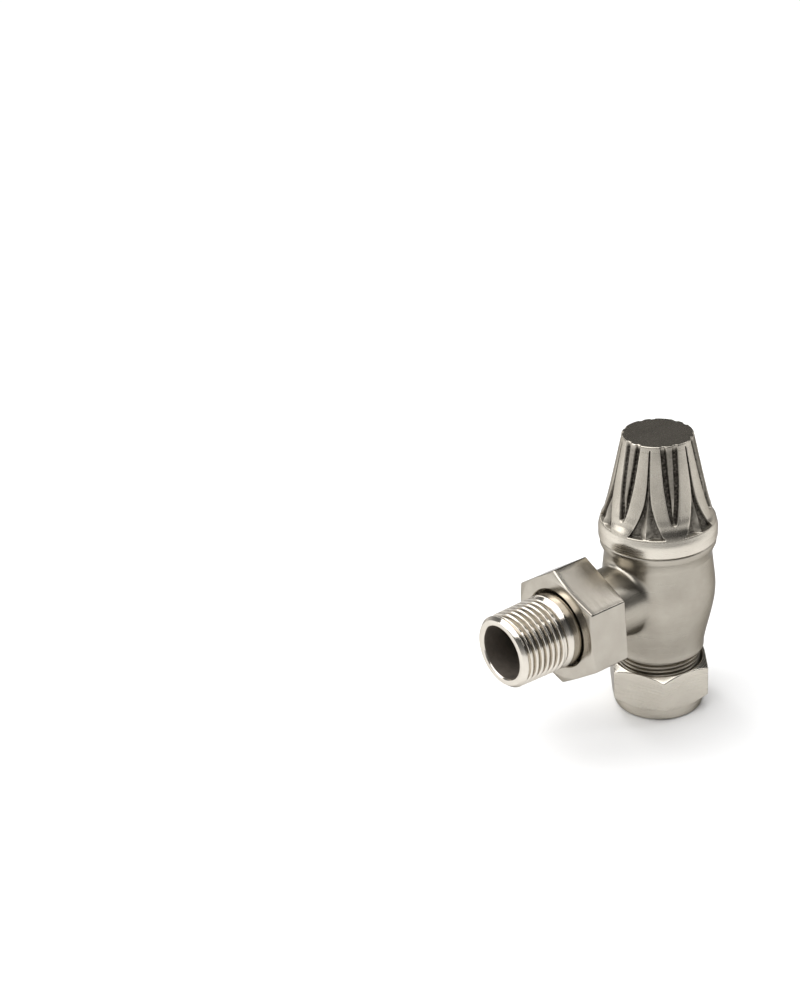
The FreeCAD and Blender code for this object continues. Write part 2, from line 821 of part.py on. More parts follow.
def carve(name, turn, outlines):
    """Cuts one carving down to a flat that leans with the cone, and repeats it round the cap."""
    tilt = FreeCAD.Rotation(FreeCAD.Vector(1, 0, 0), -lean.value)
    face = FreeCAD.Rotation(FreeCAD.Vector(0, 1, 0), turn + 90.0)
    sketch = new_sketch(lockshield_cap, name + "_outline", "XZ_Plane")
    floor = s.cap_top_radius - s.cap_carving
    spin = face.multiply(tilt)
    # the sketch's own origin is the middle of the carving's floor at the cap's top
    sketch.AttachmentOffset = FreeCAD.Placement(FreeCAD.Vector(), spin)
    angle = math.radians(turn)
    for axis, factor in (("x", math.cos(angle)), ("z", -math.sin(angle))):
        text = "%s * %r" % (floor.text, factor)
        sketch.setExpression("AttachmentOffset.Base." + axis, text)
    sketch.setExpression("AttachmentOffset.Base.y", cap_top.text)
    for points in outlines:
        outline(sketch, points)
    pocket = cut(lockshield_cap, name, sketch, s.carving_reach, outwards=True)
    pattern = lockshield_cap.newObject("PartDesign::PolarPattern", name + "_round")
    pattern.Originals = [pocket]
    pattern.Axis = (origin_part(lockshield_cap, "Z_Axis"), [""])
    pattern.Angle = 360.0
    pattern.Occurrences = CARVING_COUNT
    lockshield_cap.Tip = pattern
    doc.recompute()


def along_cone(height):
    """How far up the leaning flat a height lies, from the cap's top."""
    cosine = Size(math.cos(math.radians(lean.value)), "cos(%s)" % lean.text)
    return (height - cap_top) / cosine


def mirrored(half):
    """A closed outline from its right half, drawn from the bottom to the top."""
    return half + [(ZERO - across, up) for across, up in reversed(half)]


flute_low = along_cone(cap_shoulder - s.flute_drop)
flute = mirrored([
    (s.flute_tip, flute_low),
    (s.flute_foot, flute_low + s.flute_foot_rise),
    (s.flute_head, s.carving_over),
])
flute_rib = mirrored([
    (s.rib_foot, flute_low + s.rib_foot_rise),
    (s.rib_head, ZERO - s.rib_head_drop),
])
leaf_foot = along_cone(cap_step - s.leaf_drop)
leaf = mirrored([
    (s.leaf_base, leaf_foot),
    (s.leaf_low, leaf_foot + s.leaf_low_rise),
    (s.leaf_high, leaf_foot + s.leaf_high_rise),
    (s.leaf_slit, leaf_foot + s.leaf_slit_rise),
    (s.leaf_tip, ZERO - s.leaf_tip_drop),
])
leaf_ridge = mirrored([
    (s.spear_base, leaf_foot + s.spear_base_rise),
    (s.spear_wide, leaf_foot + s.spear_wide_rise),
    (s.spear_tip, leaf_foot + s.spear_tip_rise),
])
carve("flute", FLUTE_TURN, [flute, flute_rib])
carve("leaf", LEAF_TURN, [leaf, leaf_ridge])

seal_ring("cap_retaining_ring", ring_inner, ring_inner + s.seal_cord, ring_height)

# ---------------------------------------------------------------- check and write

doc.recompute()
for item in doc.Objects:
    if "Invalid" in item.State or "Error" in item.State:
        raise ValueError(item.Name + " did not build")

os.makedirs("parts", exist_ok=True)
pieces = [item for item in doc.Objects if item.TypeId in ("PartDesign::Body", "Part::Torus")]
for piece in pieces:
    shape = piece.Shape
    if shape.isNull() or not shape.isValid():
        raise ValueError(piece.Label + " has no valid shape")
    shape.exportStep(os.path.join("parts", piece.Label + ".step"))
    print("%-22s solids %d  volume %8.1f  z %6.2f to %6.2f" % (
        piece.Label, len(shape.Solids), shape.Volume, shape.BoundBox.ZMin, shape.BoundBox.ZMax))
print(len(pieces), "pieces")
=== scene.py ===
# %% [markdown]
# # An angle lockshield valve
#
# A lockshield valve sits on the return side of a radiator. Its carved cap hides the headwork, the union
# nut holds the threaded tail that screws into the radiator, and the compression nut grips a 15 mm pipe.
# This lesson builds its looks around a packed engineering model. That model fixes every size and every
# joint, so the first step is to load it and to ask it where things are.

# %% Load the frame
import bpy
import bmesh
import json
import math
import numpy as np
from mathutils import Matrix, Vector


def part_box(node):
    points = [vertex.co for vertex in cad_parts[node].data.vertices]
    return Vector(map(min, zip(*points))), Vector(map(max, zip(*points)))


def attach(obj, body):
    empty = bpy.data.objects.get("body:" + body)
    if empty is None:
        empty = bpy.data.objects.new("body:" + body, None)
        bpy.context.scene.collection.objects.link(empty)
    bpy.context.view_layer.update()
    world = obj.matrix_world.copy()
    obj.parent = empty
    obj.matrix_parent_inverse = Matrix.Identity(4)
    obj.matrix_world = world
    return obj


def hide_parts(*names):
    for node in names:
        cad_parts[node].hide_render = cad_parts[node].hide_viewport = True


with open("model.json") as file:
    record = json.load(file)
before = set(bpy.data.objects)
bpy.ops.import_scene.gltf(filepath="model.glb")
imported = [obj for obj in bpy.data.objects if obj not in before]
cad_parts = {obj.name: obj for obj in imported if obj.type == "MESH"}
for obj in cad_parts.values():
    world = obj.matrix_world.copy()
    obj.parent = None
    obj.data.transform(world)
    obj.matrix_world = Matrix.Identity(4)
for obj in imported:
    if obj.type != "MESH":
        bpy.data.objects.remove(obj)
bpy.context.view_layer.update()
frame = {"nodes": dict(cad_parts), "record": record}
MM = 0.001

# %% [markdown]
# ## The camera
#
# A small object looks natural when the lens is about as long as the one in a product studio. The camera
# stands 438 mm from the valve's axis and 282 mm above the bench, on a bearing midway between the tail
# and the side. It first looks straight at the axis. Then it is swung a little, in one plain rotation, so
# that the valve stands right of the middle and its axis stays upright. The lens itself is not shifted.
# Swinging the camera, instead of shifting the lens, keeps the valve in view when the other views reuse
# this camera.

# %% Camera
BEARING = math.radians(46.494)
DISTANCE = 437.69 * MM
HEIGHT = 282.24 * MM
PITCH = math.radians(28.862)
SWING_RIGHT = 0.1487
SWING_DOWN = 0.0426

camera_data = bpy.data.cameras.new("camera")
camera_data.sensor_width = 36.0
camera_data.lens = 62.44
camera_data.clip_start = 0.01
camera = bpy.data.objects.new("camera", camera_data)
bpy.context.scene.collection.objects.link(camera)
bpy.context.scene.camera = camera

camera.location = (DISTANCE * math.cos(BEARING), DISTANCE * math.sin(BEARING), HEIGHT)
look = Vector((-math.cos(BEARING) * math.cos(PITCH),
               -math.sin(BEARING) * math.cos(PITCH), -math.sin(PITCH)))
straight = look.to_track_quat("-Z", "Y")
ahead = Vector((0, 0, -1))
swing = ahead.rotation_difference(Vector((SWING_RIGHT, -SWING_DOWN, -1)).normalized())
camera.rotation_mode = "QUATERNION"
camera.rotation_quaternion = straight @ swing.inverted()
print("camera stands at", [round(c / MM) for c in camera.location], "mm")

# %% [markdown]
# ## The bench and the light
#
# Nickel has no colour of its own to speak of: it shows its surroundings. So the light matters more than
# the paint. A white bench fills the picture and lights the metal from below. A wide, soft sun stands for
# a bright ceiling. Four soft boxes stand round the valve, one on either side and two behind, and draw
# its bright edges. The sky is dimmer overhead and towards one side, and that leaves the dark bands that
# make metal read as metal.

# %% Bench
def make_mesh(name, vertices, faces):
    """A new mesh object, linked to the scene."""
    mesh = bpy.data.meshes.new(name)
    mesh.from_pydata([tuple(v) for v in vertices], [], faces)
    mesh.validate()
    piece = bpy.data.objects.new(name, mesh)
    bpy.context.scene.collection.objects.link(piece)
    return piece


BENCH = 6.0
BENCH_TOP = -0.2 * MM
bench = make_mesh("bench", [(-BENCH, -BENCH, BENCH_TOP), (BENCH, -BENCH, BENCH_TOP),
                            (BENCH, BENCH, BENCH_TOP), (-BENCH, BENCH, BENCH_TOP)], [(0, 1, 2, 3)])


# %% Material helpers
def new_material(name):
    """A node material that holds a shader and its output, and that shader."""
    material = bpy.data.materials.new(name)
    material.use_nodes = True
    nodes = material.node_tree.nodes
    nodes.clear()
    output = nodes.new("ShaderNodeOutputMaterial")
    shader = nodes.new("ShaderNodeBsdfPrincipled")
    material.node_tree.links.new(shader.outputs["BSDF"], output.inputs["Surface"])
    return material, shader


def add_node(material, kind, **settings):
    """A node of the material, with its properties and its inputs' values set by name."""
    node = material.node_tree.nodes.new(kind)
    for key, value in settings.items():
        if key in node.inputs.keys():
            node.inputs[key].default_value = value
        else:
            setattr(node, key, value)
    return node


def wire(material, source, output, target, entry):
    material.node_tree.links.new(source.outputs[output], target.inputs[entry])


def ramp_of(material, stops):
    """A colour ramp from (place, grey or colour) stops."""
    node = material.node_tree.nodes.new("ShaderNodeValToRGB")
    ramp = node.color_ramp
    while len(ramp.elements) < len(stops):
        ramp.elements.new(0.5)
    for element, (place, colour) in zip(ramp.elements, stops):
        element.position = place
        rgb = (colour,) * 3 if isinstance(colour, float) else colour
        element.color = (*rgb, 1.0)
    return node


bench_paint, shader = new_material("bench_paint")
shader.inputs["Base Color"].default_value = (0.93, 0.93, 0.93, 1)
shader.inputs["Roughness"].default_value = 0.6
bench.data.materials.append(bench_paint)

# %% Sky
DARK_SIDE = 0.20
SKY_BANDS = ((0.0, 0.80), (0.10, 0.72), (0.26, 0.33), (0.45, 0.20), (0.70, 0.05), (1.0, 0.04))
world = bpy.data.worlds.new("studio")
bpy.context.scene.world = world
world.use_nodes = True
sky_nodes = world.node_tree.nodes
sky_links = world.node_tree.links
direction = sky_nodes.new("ShaderNodeTexCoord")
split = sky_nodes.new("ShaderNodeSeparateXYZ")
sky_ramp = sky_nodes.new("ShaderNodeValToRGB")
sky_links.new(direction.outputs["Object"], split.inputs[0])
sky_links.new(split.outputs["Z"], sky_ramp.inputs["Fac"])
sideways = sky_nodes.new("ShaderNodeVectorMath")
sideways.operation = "DOT_PRODUCT"
sideways.inputs[1].default_value = (math.sin(BEARING), -math.cos(BEARING), 0)
sky_links.new(direction.outputs["Object"], sideways.inputs[0])
side_light = sky_nodes.new("ShaderNodeMapRange")
for entry, value in (("From Min", -0.9), ("From Max", 0.5), ("To Min", DARK_SIDE), ("To Max", 1.0)):
    side_light.inputs[entry].default_value = value
sky_links.new(sideways.outputs["Value"], side_light.inputs["Value"])
sky_links.new(sky_ramp.outputs["Color"], sky_nodes["Background"].inputs["Color"])
sky_links.new(side_light.outputs["Result"], sky_nodes["Background"].inputs["Strength"])
bands = sky_ramp.color_ramp.elements
while len(bands) < len(SKY_BANDS):
    bands.new(0.5)
for band, (place, grey) in zip(bands, SKY_BANDS):
    band.position = place
    band.color = (grey, grey, grey, 1)
bpy.context.scene.view_settings.view_transform = "Standard"


# %% Soft boxes
VALVE_MIDDLE = Vector((0, 0, 0.045))


def soft_box(name, bearing, distance, height, width, tall, power):
    """A rectangular lamp at a bearing in degrees, aimed at the middle of the valve."""
    data = bpy.data.lights.new(name, "AREA")
    data.shape = "RECTANGLE"
    data.size = width
    data.size_y = tall
    data.energy = power
    lamp = bpy.data.objects.new(name, data)
    bpy.context.scene.collection.objects.link(lamp)
    angle = math.radians(bearing)
    lamp.location = (distance * math.cos(angle), distance * math.sin(angle), height)
    aim = VALVE_MIDDLE - lamp.location
    lamp.rotation_mode = "QUATERNION"
    lamp.rotation_quaternion = aim.to_track_quat("-Z", "Y")


CEILING_STRENGTH = 3.6
CEILING_SPREAD = math.radians(80)
CEILING_AIM = Vector((-0.24, 0.10, -1))
ceiling = bpy.data.lights.new("ceiling", "SUN")
ceiling.energy = CEILING_STRENGTH
ceiling.angle = CEILING_SPREAD
ceiling_lamp = bpy.data.objects.new("ceiling", ceiling)
bpy.context.scene.collection.objects.link(ceiling_lamp)
ceiling_lamp.rotation_mode = "QUATERNION"
ceiling_lamp.rotation_quaternion = CEILING_AIM.to_track_quat("-Z", "Y")
# bearing in degrees, distance and height in metres, then width, tallness and power
soft_box("strip_box", 146, 0.62, 0.50, 0.12, 0.6, 0.9)
soft_box("window_box", 179, 0.46, 0.66, 0.11, 0.18, 0.13)
soft_box("side_box", -35, 0.70, 0.45, 0.35, 0.7, 2.0)
soft_box("back_box", 262, 0.70, 0.50, 0.22, 0.7, 1.2)

# %% [markdown]
# ## How a turned piece becomes a mesh
#
# Most of the valve is turned on a lathe. The same idea makes its meshes: an outline is carried round an
# axis in columns. Here the outline may differ from column to column. A hexagon nut is then also a turned
# piece, whose radius follows a rule, and the curved edges of its chamfers fall out exactly, with no
# boolean. Every corner of an outline is rounded by a few tenths of a millimetre, because real metal has
# no perfectly sharp edge and a rounded one catches the light.

# %% Outlines
def spread(points, count):
    """Outline points as an array of rows, columns and (radius, place); each may vary by column."""
    rows = []
    for radius, place in points:
        row = np.empty((count, 2))
        row[:, 0] = radius
        row[:, 1] = place
        rows.append(row)
    return np.array(rows)


def rounded(points, count, easing, steps=4):
    """The outline with each inner corner eased by a small curve. easing is in millimetres."""
    rows = spread(points, count)
    eased = [rows[0]]
    for i in range(1, len(rows) - 1):
        cut = easing[i] if isinstance(easing, (list, tuple)) else easing
        corner = rows[i]
        before = rows[i - 1] - corner
        after = rows[i + 1] - corner
        length_before = np.linalg.norm(before, axis=1)
        length_after = np.linalg.norm(after, axis=1)
        reach = np.minimum(cut, 0.45 * np.minimum(length_before, length_after))
        start = corner + before / np.maximum(length_before, 1e-9)[:, None] * reach[:, None]
        end = corner + after / np.maximum(length_after, 1e-9)[:, None] * reach[:, None]
        for k in range(steps + 1):
            t = k / steps
            eased.append((1 - t) ** 2 * start + 2 * t * (1 - t) * corner + t * t * end)
    eased.append(rows[-1])
    return np.array(eased)


def refined(rows, longest):
    """Extra rows wherever two rows of an outline are further apart than the longest step."""
    filled = [rows[0]]
    for row in rows[1:]:
        gap = np.linalg.norm(row - filled[-1], axis=1).max()
        pieces = max(1, int(math.ceil(gap / longest)))
        start = filled[-1]
        for k in range(1, pieces + 1):
            filled.append(start + (row - start) * (k / pieces))
    return np.array(filled)


# %% Turning
AXIS_HEIGHT = float(sum(c.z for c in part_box("radiator_tail")) / 2 / MM)


def about_spindle(rows, angles):
    """Carries rows of (radius, height) round the spindle's axis."""
    radius = rows[:, :, 0]
    return np.stack([radius * np.cos(angles), radius * np.sin(angles), rows[:, :, 1]], -1)


def about_tail(rows, angles):
    """Carries rows of (radius, distance along X) round the tail's axis."""
    radius = rows[:, :, 0]
    return np.stack([rows[:, :, 1], radius * np.cos(angles),
                     AXIS_HEIGHT + radius * np.sin(angles)], -1)


def skin(grid, closed):
    """The quads between neighbouring rows and columns, round the piece."""
    rows, columns = grid.shape[:2]
    faces = []
    for i in range(rows if closed else rows - 1):
        below = i * columns
        above = ((i + 1) % rows) * columns
        for j in range(columns):
            k = (j + 1) % columns
            faces.append((below + j, below + k, above + k, above + j))
    return faces


def finish_mesh(piece, sharp=35.0):
    """Merges what coincides, points the faces outwards and keeps only real edges sharp."""
    work = bmesh.new()
    work.from_mesh(piece.data)
    bmesh.ops.remove_doubles(work, verts=work.verts, dist=0.5e-6)
    bmesh.ops.dissolve_degenerate(work, edges=work.edges, dist=0.2e-6)
    bmesh.ops.delete(work, geom=[e for e in work.edges if not e.link_faces], context="EDGES")
    bmesh.ops.recalc_face_normals(work, faces=work.faces)
    work.to_mesh(piece.data)
    work.free()
    piece.data.shade_smooth()
    piece.data.set_sharp_from_angle(angle=math.radians(sharp))
    return piece


def turned(name, rows, angles, carry, closed=True, sharp=35.0):
    """A turned piece. An outline that isn't closed starts and ends on the axis."""
    grid = carry(rows, angles) * MM
    piece = make_mesh(name, grid.reshape(-1, 3), skin(grid, closed))
    return finish_mesh(piece, sharp)


def even_angles(count):
    return np.arange(count) * 2 * math.pi / count


def report(piece):
    print(piece.name, "has", len(piece.data.polygons), "faces")


# %% [markdown]
# ## The barrel of the casting
#
# The body is cast, so its outside is one flowing line: a narrow foot, a flank that swells to a belly
# level with the outlet, a waist with a crisp crease, and a cove that flares out under the cap. A few
# knots with a slope at each describe such a line well, because a cubic between two knots can't wobble.

# %% Barrel line
body_low, body_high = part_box("valve_body")
STUB_END = body_low.z / MM
BODY_TOP = body_high.z / MM
SPIGOT_END = body_high.x / MM
STUB_RADIUS = 12.1
BODY_FOOT = 18.5
WAIST = 49.0
# height, radius and slope at each knot, from the foot up to the waist
FLANK = [(19.9, 13.10, 0.02), (23.0, 13.52, 0.20), (32.6, 15.60, 0.19), (38.4, 16.19, 0.0),
         (42.5, 15.90, -0.12), (WAIST, 15.20, -0.09)]
# and from the waist's crease up to the rim
COVE = [(WAIST, 15.20, 0.10), (51.2, 15.75, 0.36), (52.9, 16.48, 0.42), (BODY_TOP, 16.40, -0.35)]


def through_knots(knots, heights):
    """A smooth radius through knots of (height, radius, slope)."""
    z = np.array([k[0] for k in knots])
    r = np.array([k[1] for k in knots])
    slope = np.array([k[2] for k in knots])
    heights = np.clip(heights, z[0], z[-1])
    i = np.clip(np.searchsorted(z, heights, side="right") - 1, 0, len(z) - 2)
    span = z[i + 1] - z[i]
    t = (heights - z[i]) / span
    return ((1 + 2 * t) * (1 - t) ** 2 * r[i] + t * (1 - t) ** 2 * span * slope[i]
            + t * t * (3 - 2 * t) * r[i + 1] + t * t * (t - 1) * span * slope[i + 1])


def barrel_radius(heights):
    heights = np.asarray(heights, float)
    return np.where(heights <= WAIST, through_knots(FLANK, heights), through_knots(COVE, heights))


print("belly radius", round(float(barrel_radius(AXIS_HEIGHT)), 2), "mm")

# %% [markdown]
# ## The neck grows out of the barrel
#
# A neck that is simply pushed into a barrel leaves a hard line that no casting has. The metal flows from
# one to the other over a fillet. To get that with clean quads, a window is left open in the barrel's
# grid, round the neck. Rings of quads then run from the window's edge inwards over the barrel, up the
# fillet and out along the neck, all with the same number of columns.

# %% Window in the barrel
NECK_RADIUS = 10.2
NECK_FILLET = 1.5
SPIGOT_START = 26.3
SPIGOT_RADIUS = 12.65
THREAD_DEPTH = 0.75
COLUMN = 2
WINDOW_COLUMNS = 31
WINDOW_LOW = 25.0
WINDOW_HIGH = 52.0


def barrel_rows():
    """Heights and radii of the casting's outside, from the stub's end up to the rim."""
    bevel = 0.6
    core = STUB_RADIUS - THREAD_DEPTH
    foot = rounded([(0.0, STUB_END), (core - bevel, STUB_END), (core, STUB_END + bevel),
                    (core, BODY_FOOT), (FLANK[0][1], BODY_FOOT + 0.25), (FLANK[0][1], FLANK[0][0])],
                   1, [0, 0.3, 0.3, 0.2, 1.0, 0])[:, 0, :]
    flank = np.arange(FLANK[0][0] + 0.5, WAIST - 0.2, 0.6)
    cove = np.concatenate([[WAIST - 0.12, WAIST, WAIST + 0.12], np.arange(WAIST + 0.5, 53.0, 0.5)])
    heights = np.concatenate([flank, cove])
    wall = np.stack([barrel_radius(heights), heights], -1)
    rim = rounded([wall[-1], (16.42, BODY_TOP), (0.0, BODY_TOP)], 1, [0, 0.6, 0])[1:, 0, :]
    return np.concatenate([foot, wall, rim])


outline_rows = barrel_rows()
barrel_angles = np.radians(np.arange(0, 360, COLUMN))
barrel_grid = about_spindle(np.repeat(outline_rows[:, None, :], len(barrel_angles), 1),
                            barrel_angles)
first_row = int(np.searchsorted(outline_rows[:-9, 1], WINDOW_LOW))
last_row = int(np.searchsorted(outline_rows[:-9, 1], WINDOW_HIGH))
print("window rows", first_row, "to", last_row, "of", len(outline_rows))

# %% Rings from the window to the neck
def window_edge():
    """Places (column, row) round the window, anticlockwise as seen from the tail."""
    side = WINDOW_COLUMNS
    edge = [(j, first_row) for j in range(-side, side)]
    edge += [(side, i) for i in range(first_row, last_row)]
    edge += [(j, last_row) for j in range(side, -side, -1)]
    edge += [(-side, i) for i in range(last_row, first_row, -1)]
    return edge


def on_barrel(across, height):
    """The barrel's surface where it faces the tail, at a distance across and a height."""
    radius = barrel_radius(height)
    return np.stack([np.sqrt(radius ** 2 - across ** 2), across, height], -1)


def neck_rings(edge):
    """Rings of points from just inside the window out to the spigot's end."""
    theta = np.radians([j * COLUMN for j, i in edge])
    height = np.array([outline_rows[i, 1] for j, i in edge])
    across = barrel_radius(height) * np.sin(theta)
    phi = np.arctan2(height - AXIS_HEIGHT, across)
    reach = NECK_RADIUS + NECK_FILLET
    inner_across = reach * np.cos(phi)
    inner_height = AXIS_HEIGHT + reach * np.sin(phi)
    inner_theta = np.arcsin(inner_across / barrel_radius(inner_height))
    rings = []
    for t in np.linspace(0, 1, 13)[1:]:
        ring_theta = theta + (inner_theta - theta) * t
        ring_height = height + (inner_height - height) * t
        rings.append(on_barrel(barrel_radius(ring_height) * np.sin(ring_theta), ring_height))
    start = rings[-1]
    foot = on_barrel(NECK_RADIUS * np.cos(phi), AXIS_HEIGHT + NECK_RADIUS * np.sin(phi))
    end = foot + [NECK_FILLET, 0, 0]
    for t in np.linspace(0, 1, 7)[1:]:
        rings.append((1 - t) ** 2 * start + 2 * t * (1 - t) * foot + t * t * end)
    core = SPIGOT_RADIUS - THREAD_DEPTH
    spigot = rounded([(NECK_RADIUS, SPIGOT_START - 5.0), (NECK_RADIUS, SPIGOT_START),
                      (core, SPIGOT_START), (core, SPIGOT_END), (0.0, SPIGOT_END)],
                     len(phi), [0, 0.3, 0.3, 0.4, 0])
    along = about_tail(spigot, phi)
    for t in (0.25, 0.5, 0.75):
        rings.append(end + (along[0] - end) * t)
    return rings + list(along)


def cast_body():
    """The closed outside of the casting, as one mesh."""
    rows, columns = barrel_grid.shape[:2]
    vertices = list(barrel_grid.reshape(-1, 3))
    faces = []
    for i in range(rows - 1):
        for j in range(columns):
            signed = j if j < columns // 2 else j - columns
            if first_row <= i < last_row and -WINDOW_COLUMNS <= signed < WINDOW_COLUMNS:
                continue
            k = (j + 1) % columns
            faces.append((i * columns + j, i * columns + k, (i + 1) * columns + k,
                          (i + 1) * columns + j))
    edge = window_edge()
    previous = [i * columns + j % columns for j, i in edge]
    for ring in neck_rings(edge):
        start = len(vertices)
        vertices.extend(ring)
        current = list(range(start, start + len(ring)))
        for a in range(len(edge)):
            b = (a + 1) % len(edge)
            faces.append((previous[a], previous[b], current[b], current[a]))
        previous = current
    body = make_mesh("body_casting", np.array(vertices) * MM, faces)
    return finish_mesh(body)


body_casting = cast_body()
report(body_casting)

# %% [markdown]
# ## Boring the waterway
#
# The foundry's casting is then bored: the socket for the pipe, the seat that the plug closes on, the
# chamber, the thread for the headwork and the outlet through the spigot. A boolean does the same job
# here: the cutter is a turned solid with the shape of the hole.

# %% Cutters
def cut_away(piece, cutter):
    """Cuts the cutter's shape out of a piece and removes the cutter."""
    modifier = piece.modifiers.new("bore", "BOOLEAN")
    modifier.operation = "DIFFERENCE"
    modifier.solver = "EXACT"
    modifier.object = cutter
    graph = bpy.context.evaluated_depsgraph_get()
    mesh = bpy.data.meshes.new_from_object(piece.evaluated_get(graph))
    piece.modifiers.remove(modifier)
    old = piece.data
    piece.data = mesh
    mesh.name = old.name
    bpy.data.meshes.remove(old)
    bpy.data.objects.remove(cutter)
    return finish_mesh(piece)


# radii and heights in mm, from the pipe's socket up to the recess under the headwork's flange
PAST = 1.0
BORE_COLUMNS = 96
SOCKET_MOUTH = 9.73
SOCKET_EDGE = 9.54
SOCKET_TAPER_END = 10.93
PIPE_BORE = 7.6
PASSAGE = 6.5
PASSAGE_END = 28.5
SEAT_BORE = 5.5
SEAT_RIM = 6.8
SEAT_TOP = 31.5
CHAMBER = 10.2
CHAMBER_FLOOR = 30.3
CHAMBER_END = 45.5
HEAD_THREAD = 10.41
HEAD_THREAD_END = 52.77
HEAD_RECESS = 11.91
OUTLET_BORE = 7.0
OUTLET_START = 6.0
waterway = rounded([
    (0.0, STUB_END - PAST), (SOCKET_MOUTH, STUB_END - PAST), (SOCKET_EDGE, STUB_END),
    (PIPE_BORE, SOCKET_TAPER_END), (PIPE_BORE, BODY_FOOT), (PASSAGE, BODY_FOOT),
    (PASSAGE, PASSAGE_END), (SEAT_BORE, PASSAGE_END), (SEAT_BORE, SEAT_TOP), (SEAT_RIM, SEAT_TOP),
    (SEAT_RIM, CHAMBER_FLOOR), (CHAMBER, CHAMBER_FLOOR), (CHAMBER, CHAMBER_END),
    (HEAD_THREAD, CHAMBER_END), (HEAD_THREAD, HEAD_THREAD_END), (HEAD_RECESS, HEAD_THREAD_END),
    (HEAD_RECESS, BODY_TOP + PAST), (0.0, BODY_TOP + PAST)], BORE_COLUMNS, 0.1, 2)
cut_away(body_casting, turned("waterway", waterway, even_angles(BORE_COLUMNS), about_spindle,
                              closed=False))
outlet = spread([(0.0, OUTLET_START), (OUTLET_BORE, OUTLET_START), (OUTLET_BORE, SPIGOT_END + PAST),
                 (0.0, SPIGOT_END + PAST)], BORE_COLUMNS)
cut_away(body_casting, turned("outlet", outlet, even_angles(BORE_COLUMNS), about_tail, closed=False))
report(body_casting)
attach(body_casting, "root")
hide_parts("valve_body")

# %% [markdown]
# ## Hexagon nuts
#
# A nut is a turned blank with six milled flats, and its chamfers were turned before the flats were cut.
# That is why each flat ends in an arc. Here the blank's radius is swapped for the radius of a hexagon,
# and the chamfer's height is worked out from how far each column stands beyond the chamfer's own radius.
# The columns bunch up at the corners, which are slightly rounded as polished plate always is. The
# compression nut is chamfered at both ends. The union nut has one shallow chamfer, at the tail's end,
# and its other end, towards the casting, is left square.

# %% Hexagons
CORNER_ROUND = 0.7
SECTOR = math.radians(60)


def hexagon(flats, first_corner, across_flat=14, across_corner=6):
    """Column angles and the radius of a rounded hexagon at each."""
    half = flats / 2
    centre = (half - CORNER_ROUND) / math.cos(SECTOR / 2)
    turn = math.atan2(CORNER_ROUND / 2, centre + CORNER_ROUND * math.cos(SECTOR / 2))
    near = np.linspace(-turn, turn, across_corner + 1)
    flat = np.linspace(turn, SECTOR - turn, across_flat + 1)[1:-1]
    offsets = np.concatenate([near, flat])
    nearest = np.where(offsets > SECTOR / 2, offsets - SECTOR, offsets)
    round_part = centre * np.cos(nearest) + np.sqrt(
        np.maximum(CORNER_ROUND ** 2 - (centre * np.sin(nearest)) ** 2, 0))
    flat_part = half / np.cos(SECTOR / 2 - np.abs(nearest))
    radius = np.where(np.abs(nearest) <= turn + 1e-9, round_part, flat_part)
    angles = np.concatenate([math.radians(first_corner) + SECTOR * k + offsets for k in range(6)])
    return angles, np.tile(radius, 6)


CHAMFER = math.tan(math.radians(30))
NUT_FLATS = 27.0
NUT_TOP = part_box("compression_nut")[1].z / MM
NUT_COLLAR = 3.7
NUT_THREAD = STUB_RADIUS + 0.06
NUT_CHAMFER_RADIUS = 13.35
NUT_TURN = 52.5
NUT_FOOT = 12.8
NUT_RIM = 12.9
NUT_CONE = (8.6, 2.5)
NUT_POCKET = 9.35
NUT_POCKET_TOP = 6.0
nut_angles, nut_radius = hexagon(NUT_FLATS, NUT_TURN)
compression_outline = rounded([
    NUT_CONE, (PIPE_BORE, 2.1), (PIPE_BORE, 0.0), (NUT_FOOT, 0.0),
    (NUT_FLATS / 2 - 0.02, NUT_COLLAR - 0.1), (NUT_FLATS / 2, NUT_COLLAR),
    (nut_radius, NUT_COLLAR + 0.02 + (nut_radius - NUT_FLATS / 2) * CHAMFER),
    (nut_radius, NUT_TOP - (nut_radius - NUT_CHAMFER_RADIUS) * CHAMFER),
    (NUT_CHAMFER_RADIUS, NUT_TOP), (NUT_RIM, NUT_TOP), (NUT_THREAD, NUT_TOP - 0.75),
    (NUT_THREAD, NUT_POCKET_TOP), (NUT_POCKET, NUT_POCKET_TOP), (NUT_POCKET, 5.7), NUT_CONE],
    len(nut_angles), [0, 0.2, 0.4, 0.6, 0.1, 0.1, 0.25, 0.3, 0.25, 0.2, 0.2, 0.1, 0.1, 0.1, 0])[:-1]
compression_nut = turned("compression_nut_hexagon", refined(compression_outline, 1.6), nut_angles,
                         about_spindle)
report(compression_nut)
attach(compression_nut, "pipe_nut")
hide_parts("compression_nut")

# %% Union nut
UNION_FLATS = 30.0
UNION_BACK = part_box("union_nut")[0].x / MM
UNION_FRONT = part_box("union_nut")[1].x / MM
UNION_THREAD = SPIGOT_RADIUS + 0.06
UNION_OPENING = 11.2
UNION_CHAMFER_RADIUS = 14.75
UNION_SLOPE = 0.33
UNION_SHOULDER = UNION_FRONT - 2.2
UNION_TURN = 34.0
union_angles, union_radius = hexagon(UNION_FLATS, UNION_TURN)
union_chamfer = (union_radius - UNION_CHAMFER_RADIUS) * UNION_SLOPE
union_outline = rounded([
    (UNION_THREAD, UNION_BACK + 0.6), (UNION_THREAD + 0.6, UNION_BACK),
    (union_radius, UNION_BACK), (union_radius, UNION_FRONT - union_chamfer),
    (UNION_CHAMFER_RADIUS, UNION_FRONT), (UNION_OPENING + 0.4, UNION_FRONT),
    (UNION_OPENING, UNION_FRONT - 0.4),
    (UNION_OPENING, UNION_SHOULDER), (UNION_THREAD, UNION_SHOULDER),
    (UNION_THREAD, UNION_BACK + 0.6)], len(union_angles),
    [0, 0.2, 0.3, 0.3, 0.25, 0.2, 0.2, 0.1, 0.1, 0])[:-1]
